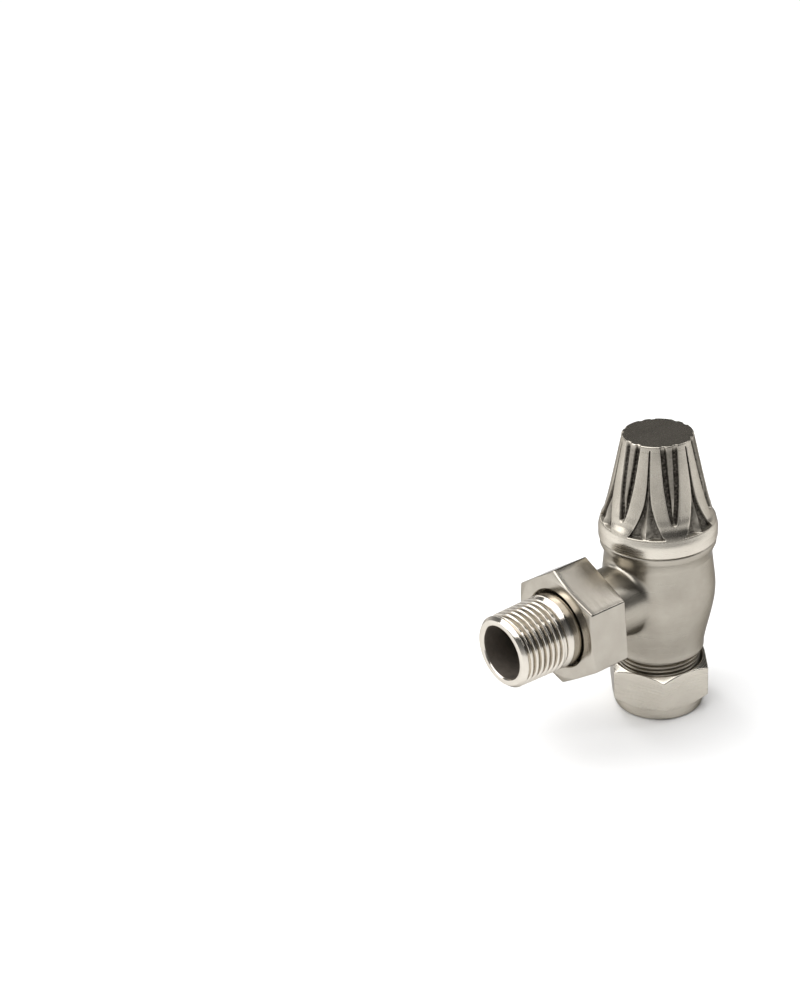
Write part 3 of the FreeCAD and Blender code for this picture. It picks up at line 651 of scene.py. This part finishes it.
union_nut = turned("union_nut_hexagon", refined(union_outline, 1.6), union_angles, about_tail)
report(union_nut)
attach(union_nut, "union")
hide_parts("union_nut")

# %% [markdown]
# ## The radiator tail
#
# The tail is turned from brass bar and polished before it is plated. Its collar is trapped inside the
# union nut, then comes a short plain shank and a taper thread that seals in the radiator as it tightens.
# The blank is turned down to the thread's root here, and the thread itself is wound on afterwards.

# %% Tail blank
tail_low, tail_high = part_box("radiator_tail")
TAIL_BACK = tail_low.x / MM
TAIL_END = tail_high.x / MM
TAIL_BORE = 7.6
TAIL_COLLAR = 12.2
COLLAR_END = TAIL_BACK + 3.4
TAIL_SHANK = 10.65
THREAD_LENGTH = 16.3
THREAD_BACK = TAIL_END - THREAD_LENGTH
THREAD_PITCH = 1.814
THREAD_HEIGHT = 0.95
CREST_AT_END = 10.25
CREST_AT_BACK = 10.6
LEAD_LENGTH = 1.1
LEAD_RADIUS = 9.35
tail_angles = even_angles(180)
tail_outline = rounded([
    (TAIL_BORE, TAIL_BACK), (TAIL_COLLAR, TAIL_BACK), (TAIL_COLLAR, COLLAR_END),
    (TAIL_SHANK, COLLAR_END),
    (TAIL_SHANK, THREAD_BACK - 0.2), (CREST_AT_BACK - THREAD_HEIGHT, THREAD_BACK + 1.2),
    (CREST_AT_END - THREAD_HEIGHT, TAIL_END - LEAD_LENGTH - 1.0),
    (CREST_AT_END, TAIL_END - LEAD_LENGTH - 0.25), (CREST_AT_END, TAIL_END - LEAD_LENGTH),
    (LEAD_RADIUS, TAIL_END), (TAIL_BORE + 0.35, TAIL_END), (TAIL_BORE, TAIL_END - 0.5),
    (TAIL_BORE, TAIL_BACK)], 180, [0, 0.3, 0.3, 0.3, 0.4, 0.4, 0.3, 0.15, 0.3, 0.2, 0.2, 0.2, 0])[:-1]
tail = turned("radiator_tail_blank", refined(tail_outline, 2.0), tail_angles, about_tail)
report(tail)
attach(tail, "tail")
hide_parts("radiator_tail")

# %% [markdown]
# ## Threads
#
# A screw thread follows a path: a ridge of one shape wound along a helix. Geometry Nodes make it from
# a spiral curve and a small trapezoid. Near both ends the ridge shrinks to nothing, as it does where a
# die runs off the work. The same tree winds the tail's taper thread and the two parallel threads of the
# casting, with other numbers in its inputs.

# %% Thread tree
def thread_tree():
    """A helical ridge about Z, in metres, with named inputs for its sizes."""
    tree = bpy.data.node_groups.new("helical_thread", "GeometryNodeTree")
    inputs = {}
    tree.interface.new_socket("Geometry", in_out="INPUT", socket_type="NodeSocketGeometry")
    for name, kind in (("Turns", "NodeSocketFloat"), ("Start Radius", "NodeSocketFloat"),
                       ("End Radius", "NodeSocketFloat"), ("Length", "NodeSocketFloat"),
                       ("Ridge Height", "NodeSocketFloat"), ("Ridge Base", "NodeSocketFloat"),
                       ("Ridge Crest", "NodeSocketFloat"), ("Run Out", "NodeSocketFloat"),
                       ("Steps per Turn", "NodeSocketInt"), ("Finish", "NodeSocketMaterial")):
        socket = tree.interface.new_socket(name, in_out="INPUT", socket_type=kind)
        inputs[name] = socket.identifier
    tree.interface.new_socket("Geometry", in_out="OUTPUT", socket_type="NodeSocketGeometry")
    node = tree.nodes.new
    link = tree.links.new
    given = node("NodeGroupInput").outputs

    spiral = node("GeometryNodeCurveSpiral")
    spiral.inputs["Reverse"].default_value = True
    link(given["Steps per Turn"], spiral.inputs["Resolution"])
    link(given["Turns"], spiral.inputs["Rotations"])
    link(given["Start Radius"], spiral.inputs["Start Radius"])
    link(given["End Radius"], spiral.inputs["End Radius"])
    link(given["Length"], spiral.inputs["Height"])
    upright = node("GeometryNodeSetCurveNormal")
    upright.mode = "Z_UP"
    link(spiral.outputs[0], upright.inputs["Curve"])

    section = node("GeometryNodeCurvePrimitiveQuadrilateral")
    section.mode = "TRAPEZOID"
    link(given["Ridge Height"], section.inputs["Height"])
    link(given["Ridge Base"], section.inputs["Bottom Width"])
    link(given["Ridge Crest"], section.inputs["Top Width"])
    section.inputs["Offset"].default_value = 0.0
    # the trapezoid stands up, and the ridge has to stand outwards
    turn = node("GeometryNodeTransform")
    turn.inputs["Rotation"].default_value = (0, 0, -math.pi / 2)
    link(section.outputs[0], turn.inputs["Geometry"])
    soften = node("GeometryNodeFilletCurve")
    soften.mode = "POLY"
    soften.inputs["Count"].default_value = 2
    soften.inputs["Radius"].default_value = 0.12 * MM
    link(turn.outputs[0], soften.inputs["Curve"])

    along = node("GeometryNodeSplineParameter")
    fade_in = node("ShaderNodeMath")
    fade_in.operation = "DIVIDE"
    link(along.outputs["Factor"], fade_in.inputs[0])
    link(given["Run Out"], fade_in.inputs[1])
    left = node("ShaderNodeMath")
    left.operation = "SUBTRACT"
    left.inputs[0].default_value = 1.0
    link(along.outputs["Factor"], left.inputs[1])
    fade_out = node("ShaderNodeMath")
    fade_out.operation = "DIVIDE"
    link(left.outputs[0], fade_out.inputs[0])
    link(given["Run Out"], fade_out.inputs[1])
    fade = node("ShaderNodeMath")
    fade.operation = "MINIMUM"
    link(fade_in.outputs[0], fade.inputs[0])
    link(fade_out.outputs[0], fade.inputs[1])
    whole = node("ShaderNodeClamp")
    whole.inputs["Min"].default_value = 0.05
    link(fade.outputs[0], whole.inputs["Value"])

    sweep = node("GeometryNodeCurveToMesh")
    sweep.inputs["Fill Caps"].default_value = True
    link(upright.outputs[0], sweep.inputs["Curve"])
    link(soften.outputs[0], sweep.inputs["Profile Curve"])
    link(whole.outputs[0], sweep.inputs["Scale"])
    real = node("GeometryNodeRealizeInstances")
    link(sweep.outputs[0], real.inputs[0])
    finish = node("GeometryNodeSetMaterial")
    link(real.outputs[0], finish.inputs["Geometry"])
    link(given["Finish"], finish.inputs["Material"])
    link(finish.outputs[0], node("NodeGroupOutput").inputs[0])
    return tree, inputs


THREAD_TREE, THREAD_INPUTS = thread_tree()
print("thread inputs:", ", ".join(THREAD_INPUTS))


# %% Winding a thread
# shares of the ridge's height and of the pitch
RIDGE_SUNK = 0.25
RIDGE_BASE = 0.86
RIDGE_CREST = 0.20
STEPS_PER_TURN = 72


def wind_thread(name, finish, start, end, pitch, height, place, run_out=0.75):
    """A thread from one (radius, place) to another, put in its place by a matrix."""
    piece = make_mesh(name, [], [])
    modifier = piece.modifiers.new("thread", "NODES")
    modifier.node_group = THREAD_TREE
    length = abs(end[1] - start[1])
    turns = length / pitch
    sunk = height * RIDGE_SUNK
    values = {"Turns": turns, "Start Radius": (start[0] - (height - sunk) / 2 - sunk / 2) * MM,
              "End Radius": (end[0] - (height - sunk) / 2 - sunk / 2) * MM, "Length": length * MM,
              "Ridge Height": height * MM, "Ridge Base": pitch * RIDGE_BASE * MM,
              "Ridge Crest": pitch * RIDGE_CREST * MM, "Run Out": run_out / turns,
              "Steps per Turn": STEPS_PER_TURN, "Finish": finish}
    for key, value in values.items():
        modifier[THREAD_INPUTS[key]] = value
    graph = bpy.context.evaluated_depsgraph_get()
    mesh = bpy.data.meshes.new_from_object(piece.evaluated_get(graph))
    piece.modifiers.remove(modifier)
    old = piece.data
    piece.data = mesh
    bpy.data.meshes.remove(old)
    mesh.name = name
    mesh.transform(place)
    return finish_mesh(piece, 50.0)


def along_x(x):
    """Lays a thread about Z down along the tail, with its start at a distance x."""
    lay = Matrix(((0, 0, 1), (0, 1, 0), (-1, 0, 0))).to_4x4()
    return Matrix.Translation((x * MM, 0, AXIS_HEIGHT * MM)) @ lay


def along_z(z):
    return Matrix.Translation((0, 0, z * MM))


# every finish gets its nodes further down; the threads only need to know which one they take
satin_nickel, satin_shader = new_material("satin_nickel")
bright_nickel, bright_shader = new_material("bright_nickel")
cast_nickel, cast_shader = new_material("cast_nickel")

SPIGOT_PITCH = 1.5
STUB_PITCH = 1.337
tail_thread = wind_thread("tail_thread", bright_nickel, (CREST_AT_BACK, THREAD_BACK + 0.5),
                          (CREST_AT_END, TAIL_END - LEAD_LENGTH), THREAD_PITCH, THREAD_HEIGHT + 0.3,
                          along_x(THREAD_BACK + 0.5))
spigot_thread = wind_thread("spigot_thread", satin_nickel, (SPIGOT_RADIUS, SPIGOT_START + 0.5),
                            (SPIGOT_RADIUS, SPIGOT_END - 0.4), SPIGOT_PITCH, THREAD_DEPTH + 0.25,
                            along_x(SPIGOT_START + 0.5))
stub_thread = wind_thread("stub_thread", satin_nickel, (STUB_RADIUS, STUB_END + 0.5),
                          (STUB_RADIUS, BODY_FOOT - 0.15), STUB_PITCH, THREAD_DEPTH + 0.25,
                          along_z(STUB_END + 0.5))
for thread, body, slot in ((tail_thread, "tail", "bright_nickel"),
                           (spigot_thread, "root", "satin_nickel"),
                           (stub_thread, "root", "satin_nickel")):
    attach(thread, body)
    report(thread)

# %% [markdown]
# ## The lockshield cap
#
# The cap is a tapered shell with a carved pattern that repeats six times: a V of two dark grooves with
# a rib between them, and between two of those a tall leaf, whose slit runs up to the top and whose foot
# opens round a spear. A boolean would leave ragged edges. The surface is a height field instead: each
# row is a ring at one height, and its columns slide sideways so that they always lie on the edges of
# the carving. Every edge is then one clean line of the mesh.

# %% Lines of the carving
cap_low, cap_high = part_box("lockshield_cap")
CAP_BOTTOM = cap_low.z / MM
CAP_TOP = cap_high.z / MM
CAP_TOP_RADIUS = 9.85
CAP_SHOULDER = (CAP_BOTTOM + 10.9, 14.145)
CARVING_COUNT = 6
FLUTE_TURN = math.radians(4.6)
CARVED_FLAT = 0.95
HALF_SECTOR = math.pi / CARVING_COUNT
CAP_SLOPE = (CAP_SHOULDER[1] - CAP_TOP_RADIUS) / (CAP_TOP - CAP_SHOULDER[0])


def flowing(points, heights):
    """A smooth line through (height, value) points that keeps to their rises and falls."""
    z = np.array([p[0] for p in points], float)
    v = np.array([p[1] for p in points], float)
    rise = np.diff(v) / np.diff(z)
    slope = np.concatenate([[rise[0]], np.zeros(len(z) - 2), [rise[-1]]])
    same = rise[:-1] * rise[1:] > 0
    total = np.where(same, rise[:-1] + rise[1:], 1)
    slope[1:-1] = np.where(same, 2 * rise[:-1] * rise[1:] / total, 0)
    return through_knots(list(zip(z, v, slope)), heights)


def ease(value):
    """Goes smoothly from 0 to 1 as the value does."""
    value = np.clip(value, 0, 1)
    return value * value * (3 - 2 * value)


def cap_cone(height):
    return CAP_TOP_RADIUS + (CAP_TOP - height) * CAP_SLOPE


# heights are above the cap's bottom; the second number is a radius or a half width
SHELL_LINE = [(0.0, 16.7), (2.6, 16.7), (4.7, 16.25), (6.0, 15.85), (7.5, 15.10), (9.1, 14.66),
              (10.9, 14.145), (30.6, CAP_TOP_RADIUS)]
FLUTE_FOOT = 8.6
FLUTE_HALF = [(9.2, 0.85), (11.5, 1.42), (15.0, 1.90), (20.5, 2.38), (30.6, 2.62)]
RIB_HALF = [(10.8, 0.05), (14.0, 0.42), (20.5, 0.82), (30.6, 1.12)]
LEAF_FOOT = 5.2
LEAF_TIP = 29.7
LEAF_HALF = [(5.2, 5.80), (6.2, 4.75), (8.0, 3.60), (11.5, 2.05), (15.5, 0.95), (20.5, 0.45),
             (29.7, 0.24)]
# share of the leaf's painted shade kept at its foot; higher up the leaf takes the whole of it
LEAF_SHADE = 0.85
SPEAR_HALF = [(5.2, 1.75), (6.6, 1.95), (9.0, 1.35), (12.0, 0.62), (15.2, 0.06)]
SPEAR_TIP = 15.2


def shell_radius(height):
    return flowing([(CAP_BOTTOM + z, r) for z, r in SHELL_LINE], height)


def half_width(points, height):
    above = height - CAP_BOTTOM
    return float(flowing(points, np.clip(above, points[0][0], points[-1][0])))


print("cap cone leans", round(math.degrees(math.atan(CAP_SLOPE)), 1), "degrees")

# %% One row of the carving
def feature_lines(height):
    """(distance from the flute's middle, depth share, painted shade) of each line across half a sector.
    """
    above = height - CAP_BOTTOM
    arc = float(shell_radius(height)) * HALF_SECTOR
    flute = half_width(FLUTE_HALF, height)
    if above < FLUTE_HALF[0][0]:
        flute *= math.sqrt(max(above - FLUTE_FOOT, 0.0) / (FLUTE_HALF[0][0] - FLUTE_FOOT)) * 0.999
    flute = max(flute, 0.12)
    flute_end = float(ease((above - 28.9) / 1.5))
    flute_depth = float(ease((above - FLUTE_FOOT) / 0.7)) * (1 - 0.45 * flute_end)
    # painted shade of the flute, made lighter where the flute runs out at the top
    flute_shade = float(ease((above - FLUTE_FOOT) / 0.7)) * (1 - 0.75 * flute_end)
    rib = min(half_width(RIB_HALF, height), flute * 0.5)
    rib_depth = 1 - float(ease((above - 10.6) / 6.0)) * 0.93
    leaf = half_width(LEAF_HALF, height)
    leaf_depth = float(ease((above - LEAF_FOOT) / 0.45) * ease((LEAF_TIP - above) / 0.8))
    leaf_shade = leaf_depth * (LEAF_SHADE + (1 - LEAF_SHADE) * float(ease((above - 8.0) / 5.0)))
    spear = min(half_width(SPEAR_HALF, height), leaf * 0.5)
    spear_depth = 1 - float(ease((SPEAR_TIP - above) / 6.0)) * 0.95
    wall = min(0.34, flute * 0.42)
    bank = min(0.34, leaf * 0.42)
    # each line is (distance, depth share, painted shade); the painted shade is darkest on the grooves'
    # floors and none at their edges
    lines = [(0.0, rib_depth, 0.5), (rib * 0.70, rib_depth + 0.03, 0.5),
             (rib, 0.5 + rib_depth * 0.5, 0.9), (rib + 0.10, 1.0, 1.0), (flute - wall, 1.0, 1.0),
             (flute - wall * 0.30, 0.25, 0.6), (flute - wall * 0.05, 0.06, 0.15),
             (flute + 0.10, 0.0, 0.0)]
    lines = [(s, d * flute_depth, shade * flute_shade) for s, d, shade in lines]
    far = [(leaf + 0.10, 0.0, 0.0), (leaf - bank * 0.05, 0.06, 0.15),
           (leaf - bank * 0.30, 0.25, 0.6), (leaf - bank, 1.0, 1.0), (spear + 0.04, 1.0, 1.0),
           (spear * 0.92, 0.90 + spear_depth * 0.10, 0.8), (0.0, spear_depth, 0.2)]
    lines += [(arc - s, d * leaf_depth, shade * leaf_shade) for s, d, shade in far]
    return arc, lines


COLUMNS_BETWEEN = (3, 1, 1, 3, 2, 1, 1, 9, 1, 1, 2, 5, 1, 4)
LOOSE_BELOW = 1.5
FIRM_ABOVE = 4.4


def carved_row(height):
    """Angles, depth shares and painted shades of one whole ring."""
    arc, lines = feature_lines(height)
    keep_apart = np.arange(len(lines)) * 1e-3
    place = np.maximum.accumulate(np.array([s for s, d, shade in lines]) + keep_apart)
    place = np.minimum(place / place[-1], 1.0)
    depth = np.array([d for s, d, shade in lines])
    shade = np.array([shade for s, d, shade in lines])
    share = np.concatenate([[0], np.cumsum(COLUMNS_BETWEEN)])
    steps = np.arange(share[-1] + 1)
    half = np.interp(steps, share, place)
    firm = float(ease((height - CAP_BOTTOM - LOOSE_BELOW) / (FIRM_ABOVE - LOOSE_BELOW)))
    half = half * firm + steps / share[-1] * (1 - firm)
    half_depth = np.interp(steps, share, depth)
    half_shade = np.interp(steps, share, shade)
    angles, depths, shades = [], [], []
    for k in range(CARVING_COUNT):
        middle = FLUTE_TURN + 2 * HALF_SECTOR * k
        angles += [middle + half[:-1] * HALF_SECTOR,
                   middle + 2 * HALF_SECTOR - half[:0:-1] * HALF_SECTOR]
        depths += [half_depth[:-1], half_depth[:0:-1]]
        shades += [half_shade[:-1], half_shade[:0:-1]]
    return np.concatenate(angles), np.concatenate(depths), np.concatenate(shades)


def carved_radius(height, angles, depths):
    """The shell's radius, or the leaning flat that a carving is cut down to, or in between."""
    outer = float(shell_radius(height))
    from_middle = (angles - FLUTE_TURN + HALF_SECTOR / 2) % HALF_SECTOR - HALF_SECTOR / 2
    floor = (cap_cone(height) - CARVED_FLAT) / np.cos(from_middle)
    return outer - np.maximum(outer - floor, 0) * depths


# %% The cap's shell
CAP_WALL = 1.9
CAP_ROOF = CAP_TOP - 2.2
CAP_STEP = CAP_BOTTOM + 3.7
SKIRT_INSIDE = 14.7
RING_GROOVE = 15.03
GROOVE_HALF = 0.81
GROOVE_MIDDLE = CAP_BOTTOM + 1.7
CONE_BREAK = 72.0
ROWS = np.concatenate([np.arange(0.35, 4.6, 0.45), np.arange(4.7, 6.2, 0.09),
                       np.arange(6.3, 8.5, 0.25), np.arange(8.56, 10.4, 0.10),
                       np.arange(10.6, 16.0, 0.35), np.arange(16.4, 29.0, 0.7),
                       np.arange(28.9, 30.3, 0.12), [30.36]])


def cap_shell():
    """The closed shell: carved outside, flat top, plain inside with its ring groove."""
    base_angles = carved_row(CAP_BOTTOM)[0]
    rings, shades = [], []

    def plain(radius, height, angles=base_angles):
        rings.append(np.stack([radius * np.cos(angles), radius * np.sin(angles),
                               np.full(len(angles), height)], -1))
        shades.append(np.zeros(len(angles)))

    for radius, height in rounded([(15.5, CAP_BOTTOM), (16.7, CAP_BOTTOM), (16.7, CAP_BOTTOM + 0.6)],
                                  1, [0, 0.35, 0])[:, 0, :]:
        plain(radius, height)
    for above in ROWS[ROWS > 0.6]:
        # tint here is the ring's painted shade, which the carving attribute keeps
        angles, depths, tint = carved_row(CAP_BOTTOM + above)
        radius = carved_radius(CAP_BOTTOM + above, angles, depths)
        plain(radius, CAP_BOTTOM + above, angles)
        shades[-1] = tint
    top_angles, depths, tint = carved_row(CAP_TOP)
    top_radius = carved_radius(CAP_TOP, top_angles, depths)
    for inset, drop in ((0.02, 0.14), (0.07, 0.06), (0.16, 0.01), (0.24, 0.0)):
        plain(top_radius - inset, CAP_TOP - drop, top_angles)
    for share in (0.93, 0.8, 0.55, 0.3, 0.1, 0.0):
        plain(top_radius * share, CAP_TOP, top_angles)
    groove_top = GROOVE_MIDDLE + GROOVE_HALF
    groove_low = GROOVE_MIDDLE - GROOVE_HALF
    for radius, height in ((0.0, CAP_ROOF), (3.0, CAP_ROOF),
                           (cap_cone(CAP_ROOF) - CAP_WALL - 0.6, CAP_ROOF),
                           (cap_cone(CAP_ROOF) - CAP_WALL, CAP_ROOF - 0.6),
                           (cap_cone(CONE_BREAK) - CAP_WALL, CONE_BREAK),
                           (cap_cone(CAP_STEP) - CAP_WALL, CAP_STEP), (SKIRT_INSIDE, CAP_STEP),
                           (SKIRT_INSIDE, groove_top), (RING_GROOVE, groove_top),
                           (RING_GROOVE, groove_low), (SKIRT_INSIDE, groove_low),
                           (SKIRT_INSIDE, CAP_BOTTOM + 0.3), (SKIRT_INSIDE + 0.3, CAP_BOTTOM)):
        plain(radius, height)
    piece = make_mesh("lockshield_cap_carved", np.array(rings).reshape(-1, 3) * MM,
                      skin(np.array(rings), True))
    # the carving attribute holds each point's painted shade for the cap's finish
    carving = piece.data.attributes.new("carving", "FLOAT", "POINT")
    carving.data.foreach_set("value", np.array(shades).reshape(-1).astype(np.float32))
    return finish_mesh(piece, 40.0)


cap = cap_shell()
report(cap)
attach(cap, "cap")
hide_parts("lockshield_cap")

# %% [markdown]
# ## Nickel
#
# Nickel plate is a warm grey mirror. What makes it real is what has been done to it. The casting was
# linished before plating, which leaves faint lines round it and a soft sheen. The two nuts were turned
# and milled, so their plate is smoother, and the compression nut's plate is also painted brighter, as
# painted light. The tail was polished, and its bore was left dull and brown.
# The cap's straps were linished along its height, and its collar takes the compression nut's plate. The
# cap kept the foundry's rough skin at the bottom of its carving, where no belt reaches, and there its
# colour is darkened to a near black as painted shade. One function lays down the shared part: a tint
# that drifts a little, lines in one direction and a fine grain, all in the piece's own coordinates.

# %% Plate
EDGE_TINT = (0.32, 0.31, 0.30, 1)


def plate(material, shader, colour, dull, lines, line_depth, grain_depth, roughness):
    """Plated metal with tool lines across one direction. lines is a scale along X, Y and Z."""
    shader.inputs["Metallic"].default_value = 1.0
    shader.inputs["Specular Tint"].default_value = EDGE_TINT
    place = add_node(material, "ShaderNodeTexCoord")
    clouds = add_node(material, "ShaderNodeTexNoise", Scale=130.0, Detail=3.0, Roughness=0.55)
    wire(material, place, "Object", clouds, "Vector")
    tint = ramp_of(material, [(0.30, dull), (0.62, colour)])
    wire(material, clouds, "Fac", tint, "Fac")
    stretch = add_node(material, "ShaderNodeMapping", Scale=lines)
    wire(material, place, "Object", stretch, "Vector")
    scratches = add_node(material, "ShaderNodeTexNoise", Scale=1.0, Detail=4.0, Roughness=0.7)
    wire(material, stretch, "Vector", scratches, "Vector")
    sheen = add_node(material, "ShaderNodeMapRange")
    sheen.inputs["From Min"].default_value = 0.3
    sheen.inputs["From Max"].default_value = 0.7
    sheen.inputs["To Min"].default_value = roughness[0]
    sheen.inputs["To Max"].default_value = roughness[1]
    wire(material, scratches, "Fac", sheen, "Value")
    grain = add_node(material, "ShaderNodeTexNoise", Scale=2600.0, Detail=2.0)
    wire(material, place, "Object", grain, "Vector")
    cut = add_node(material, "ShaderNodeBump", Strength=1.0, Distance=line_depth)
    wire(material, scratches, "Fac", cut, "Height")
    rough_skin = add_node(material, "ShaderNodeBump", Strength=1.0, Distance=grain_depth)
    wire(material, grain, "Fac", rough_skin, "Height")
    wire(material, cut, "Normal", rough_skin, "Normal")
    wire(material, tint, "Color", shader, "Base Color")
    wire(material, sheen, "Result", shader, "Roughness")
    wire(material, rough_skin, "Normal", shader, "Normal")
    return tint, sheen, rough_skin


nut_nickel, nut_shader = new_material("nut_nickel")
union_nickel, union_shader = new_material("union_nickel")
bore_nickel, bore_shader = new_material("bore_nickel")
plate(satin_nickel, satin_shader, colour=(0.400, 0.371, 0.320), dull=(0.352, 0.323, 0.276),
      lines=(60.0, 60.0, 5600.0), line_depth=6e-6, grain_depth=3e-6, roughness=(0.26, 0.34))
plate(bright_nickel, bright_shader, colour=(0.65, 0.61, 0.545), dull=(0.58, 0.54, 0.48),
      lines=(5200.0, 90.0, 90.0), line_depth=5e-6, grain_depth=1.5e-6, roughness=(0.10, 0.20))
# the compression nut's plate is smoother, and its colour is painted brighter than the casting's, as
# painted light
plate(nut_nickel, nut_shader, colour=(0.61, 0.571, 0.502), dull=(0.56, 0.521, 0.456),
      lines=(60.0, 60.0, 4600.0), line_depth=4e-6, grain_depth=2e-6, roughness=(0.22, 0.30))
plate(union_nickel, union_shader, colour=(0.430, 0.400, 0.350), dull=(0.380, 0.350, 0.304),
      lines=(4200.0, 120.0, 120.0), line_depth=3e-6, grain_depth=2e-6, roughness=(0.17, 0.23))
plate(bore_nickel, bore_shader, colour=(0.27, 0.235, 0.20), dull=(0.16, 0.14, 0.12),
      lines=(900.0, 400.0, 400.0), line_depth=3e-5, grain_depth=1e-5, roughness=(0.55, 0.75))
for piece, finish in ((body_casting, satin_nickel), (compression_nut, nut_nickel),
                      (union_nut, union_nickel), (tail, bright_nickel)):
    piece.data.materials.clear()
    piece.data.materials.append(finish)
tail.data.materials.append(bore_nickel)
BORE_EDGE = (TAIL_BORE + 0.05) * MM
for face in tail.data.polygons:
    if math.hypot(face.center.y, face.center.z - AXIS_HEIGHT * MM) < BORE_EDGE:
        face.material_index = 1
print("plated:", body_casting.name, compression_nut.name, union_nut.name, tail.name)

# %% [markdown]
# ### The carving's painted shade
#
# The cap wears the same plate on its straps. Where the mesh says that it is carved, the colour falls to
# a near black as painted shade, the surface turns rough, and a coarse grain stands up like cast skin.

# %% Cast nickel
# painted shade: the near black that the carving's floor is darkened to
CARVING_SHADE_COLOUR = (0.028, 0.024, 0.019, 1)
CAST_ROUGHNESS = 0.55
CAP_COLLAR_TOP = CAP_BOTTOM + 4.8
plate_tint, plate_sheen, plate_bump = plate(
    cast_nickel, cast_shader, colour=(0.485, 0.450, 0.390), dull=(0.415, 0.384, 0.331),
    lines=(1500.0, 1500.0, 60.0), line_depth=7e-6, grain_depth=4e-6, roughness=(0.22, 0.30))
carved = add_node(cast_nickel, "ShaderNodeAttribute", attribute_name="carving")
cast_place = add_node(cast_nickel, "ShaderNodeTexCoord")
skin_noise = add_node(cast_nickel, "ShaderNodeTexNoise", Scale=1500.0, Detail=3.0, Roughness=0.65)
wire(cast_nickel, cast_place, "Object", skin_noise, "Vector")
patchy = add_node(cast_nickel, "ShaderNodeMapRange")
patchy.inputs["From Min"].default_value = 0.35
patchy.inputs["From Max"].default_value = 0.65
patchy.inputs["To Min"].default_value = 0.75
patchy.inputs["To Max"].default_value = 1.1
wire(cast_nickel, skin_noise, "Fac", patchy, "Value")
# painted shade where the mesh is carved, made patchy; the same mask makes that floor rough like cast
# skin
shade_and_rough_skin = add_node(cast_nickel, "ShaderNodeMath", operation="MULTIPLY", use_clamp=True)
wire(cast_nickel, carved, "Fac", shade_and_rough_skin, 0)
wire(cast_nickel, patchy, "Result", shade_and_rough_skin, 1)
# a mix node keeps separate sockets for colours and for numbers, so they are picked by their order
darker = add_node(cast_nickel, "ShaderNodeMix", data_type="RGBA")
wire(cast_nickel, shade_and_rough_skin, 0, darker, 0)
wire(cast_nickel, plate_tint, "Color", darker, 6)
darker.inputs[7].default_value = CARVING_SHADE_COLOUR
wire(cast_nickel, darker, 2, cast_shader, "Base Color")
rougher = add_node(cast_nickel, "ShaderNodeMix", data_type="FLOAT")
wire(cast_nickel, shade_and_rough_skin, 0, rougher, 0)
wire(cast_nickel, plate_sheen, "Result", rougher, 2)
rougher.inputs[3].default_value = CAST_ROUGHNESS
wire(cast_nickel, rougher, 0, cast_shader, "Roughness")
pitted = add_node(cast_nickel, "ShaderNodeBump", Distance=1.2e-4)
wire(cast_nickel, carved, "Fac", pitted, "Strength")
wire(cast_nickel, skin_noise, "Fac", pitted, "Height")
wire(cast_nickel, plate_bump, "Normal", pitted, "Normal")
wire(cast_nickel, pitted, "Normal", cast_shader, "Normal")
cap.data.materials.append(cast_nickel)
# the collar takes the compression nut's plate, whose brighter colour is painted light
cap.data.materials.append(nut_nickel)
for face in cap.data.polygons:
    if face.center.z < CAP_COLLAR_TOP * MM:
        face.material_index = 1
print("cap finish reads the mesh's", carved.attribute_name, "attribute")

# %% [markdown]
# ## What is inside
#
# With the cap lifted or the union undone the inner pieces show: turned brass that was never plated,
# black rubber rings, white packing, a red fibre washer and a stainless screw. Their shapes come from
# the engineering model as they are, so they only need their finishes.

# %% Inner finishes
def inner_finish(name, colour, other, metallic, roughness, lines, line_depth, scale):
    """A finish with a drifting tint and tool or mould marks."""
    material, shader = new_material(name)
    shader.inputs["Metallic"].default_value = metallic
    place = add_node(material, "ShaderNodeTexCoord")
    noise = add_node(material, "ShaderNodeTexNoise", Scale=scale, Detail=4.0, Roughness=0.6)
    wire(material, place, "Object", noise, "Vector")
    tint = ramp_of(material, [(0.32, other), (0.64, colour)])
    wire(material, noise, "Fac", tint, "Fac")
    stretch = add_node(material, "ShaderNodeMapping", Scale=lines)
    wire(material, place, "Object", stretch, "Vector")
    marks = add_node(material, "ShaderNodeTexNoise", Scale=1.0, Detail=3.0)
    wire(material, stretch, "Vector", marks, "Vector")
    gloss = add_node(material, "ShaderNodeMapRange")
    gloss.inputs["To Min"].default_value = roughness * 0.8
    gloss.inputs["To Max"].default_value = roughness * 1.25
    wire(material, marks, "Fac", gloss, "Value")
    relief = add_node(material, "ShaderNodeBump", Distance=line_depth)
    wire(material, marks, "Fac", relief, "Height")
    wire(material, tint, "Color", shader, "Base Color")
    wire(material, gloss, "Result", shader, "Roughness")
    wire(material, relief, "Normal", shader, "Normal")
    return material


TURNED = (120.0, 120.0, 5000.0)
MOULDED = (900.0, 900.0, 900.0)
FINISHES = {
    "bare_brass": inner_finish("bare_brass", (0.80, 0.60, 0.28), (0.66, 0.47, 0.20), 1.0, 0.24,
                               TURNED, 1.2e-5, 200.0),
    "rubber_black": inner_finish("rubber_black", (0.022, 0.022, 0.023), (0.012, 0.012, 0.012), 0.0,
                                 0.52, MOULDED, 6e-6, 900.0),
    "ptfe_white": inner_finish("ptfe_white", (0.86, 0.86, 0.83), (0.78, 0.77, 0.73), 0.0, 0.42,
                               TURNED, 8e-6, 300.0),
    "fibre_red": inner_finish("fibre_red", (0.42, 0.10, 0.07), (0.28, 0.06, 0.045), 0.0, 0.75,
                              MOULDED, 3e-5, 1400.0),
    "stainless": inner_finish("stainless", (0.62, 0.61, 0.59), (0.52, 0.51, 0.49), 1.0, 0.28,
                              TURNED, 8e-6, 250.0),
    "satin_nickel": satin_nickel, "cast_nickel": cast_nickel, "bright_nickel": bright_nickel,
}
for row in frame["record"]["subparts"]:
    node = frame["nodes"][row["node"]]
    node.data.materials.clear()
    node.data.materials.append(FINISHES[row["material_slot"]])
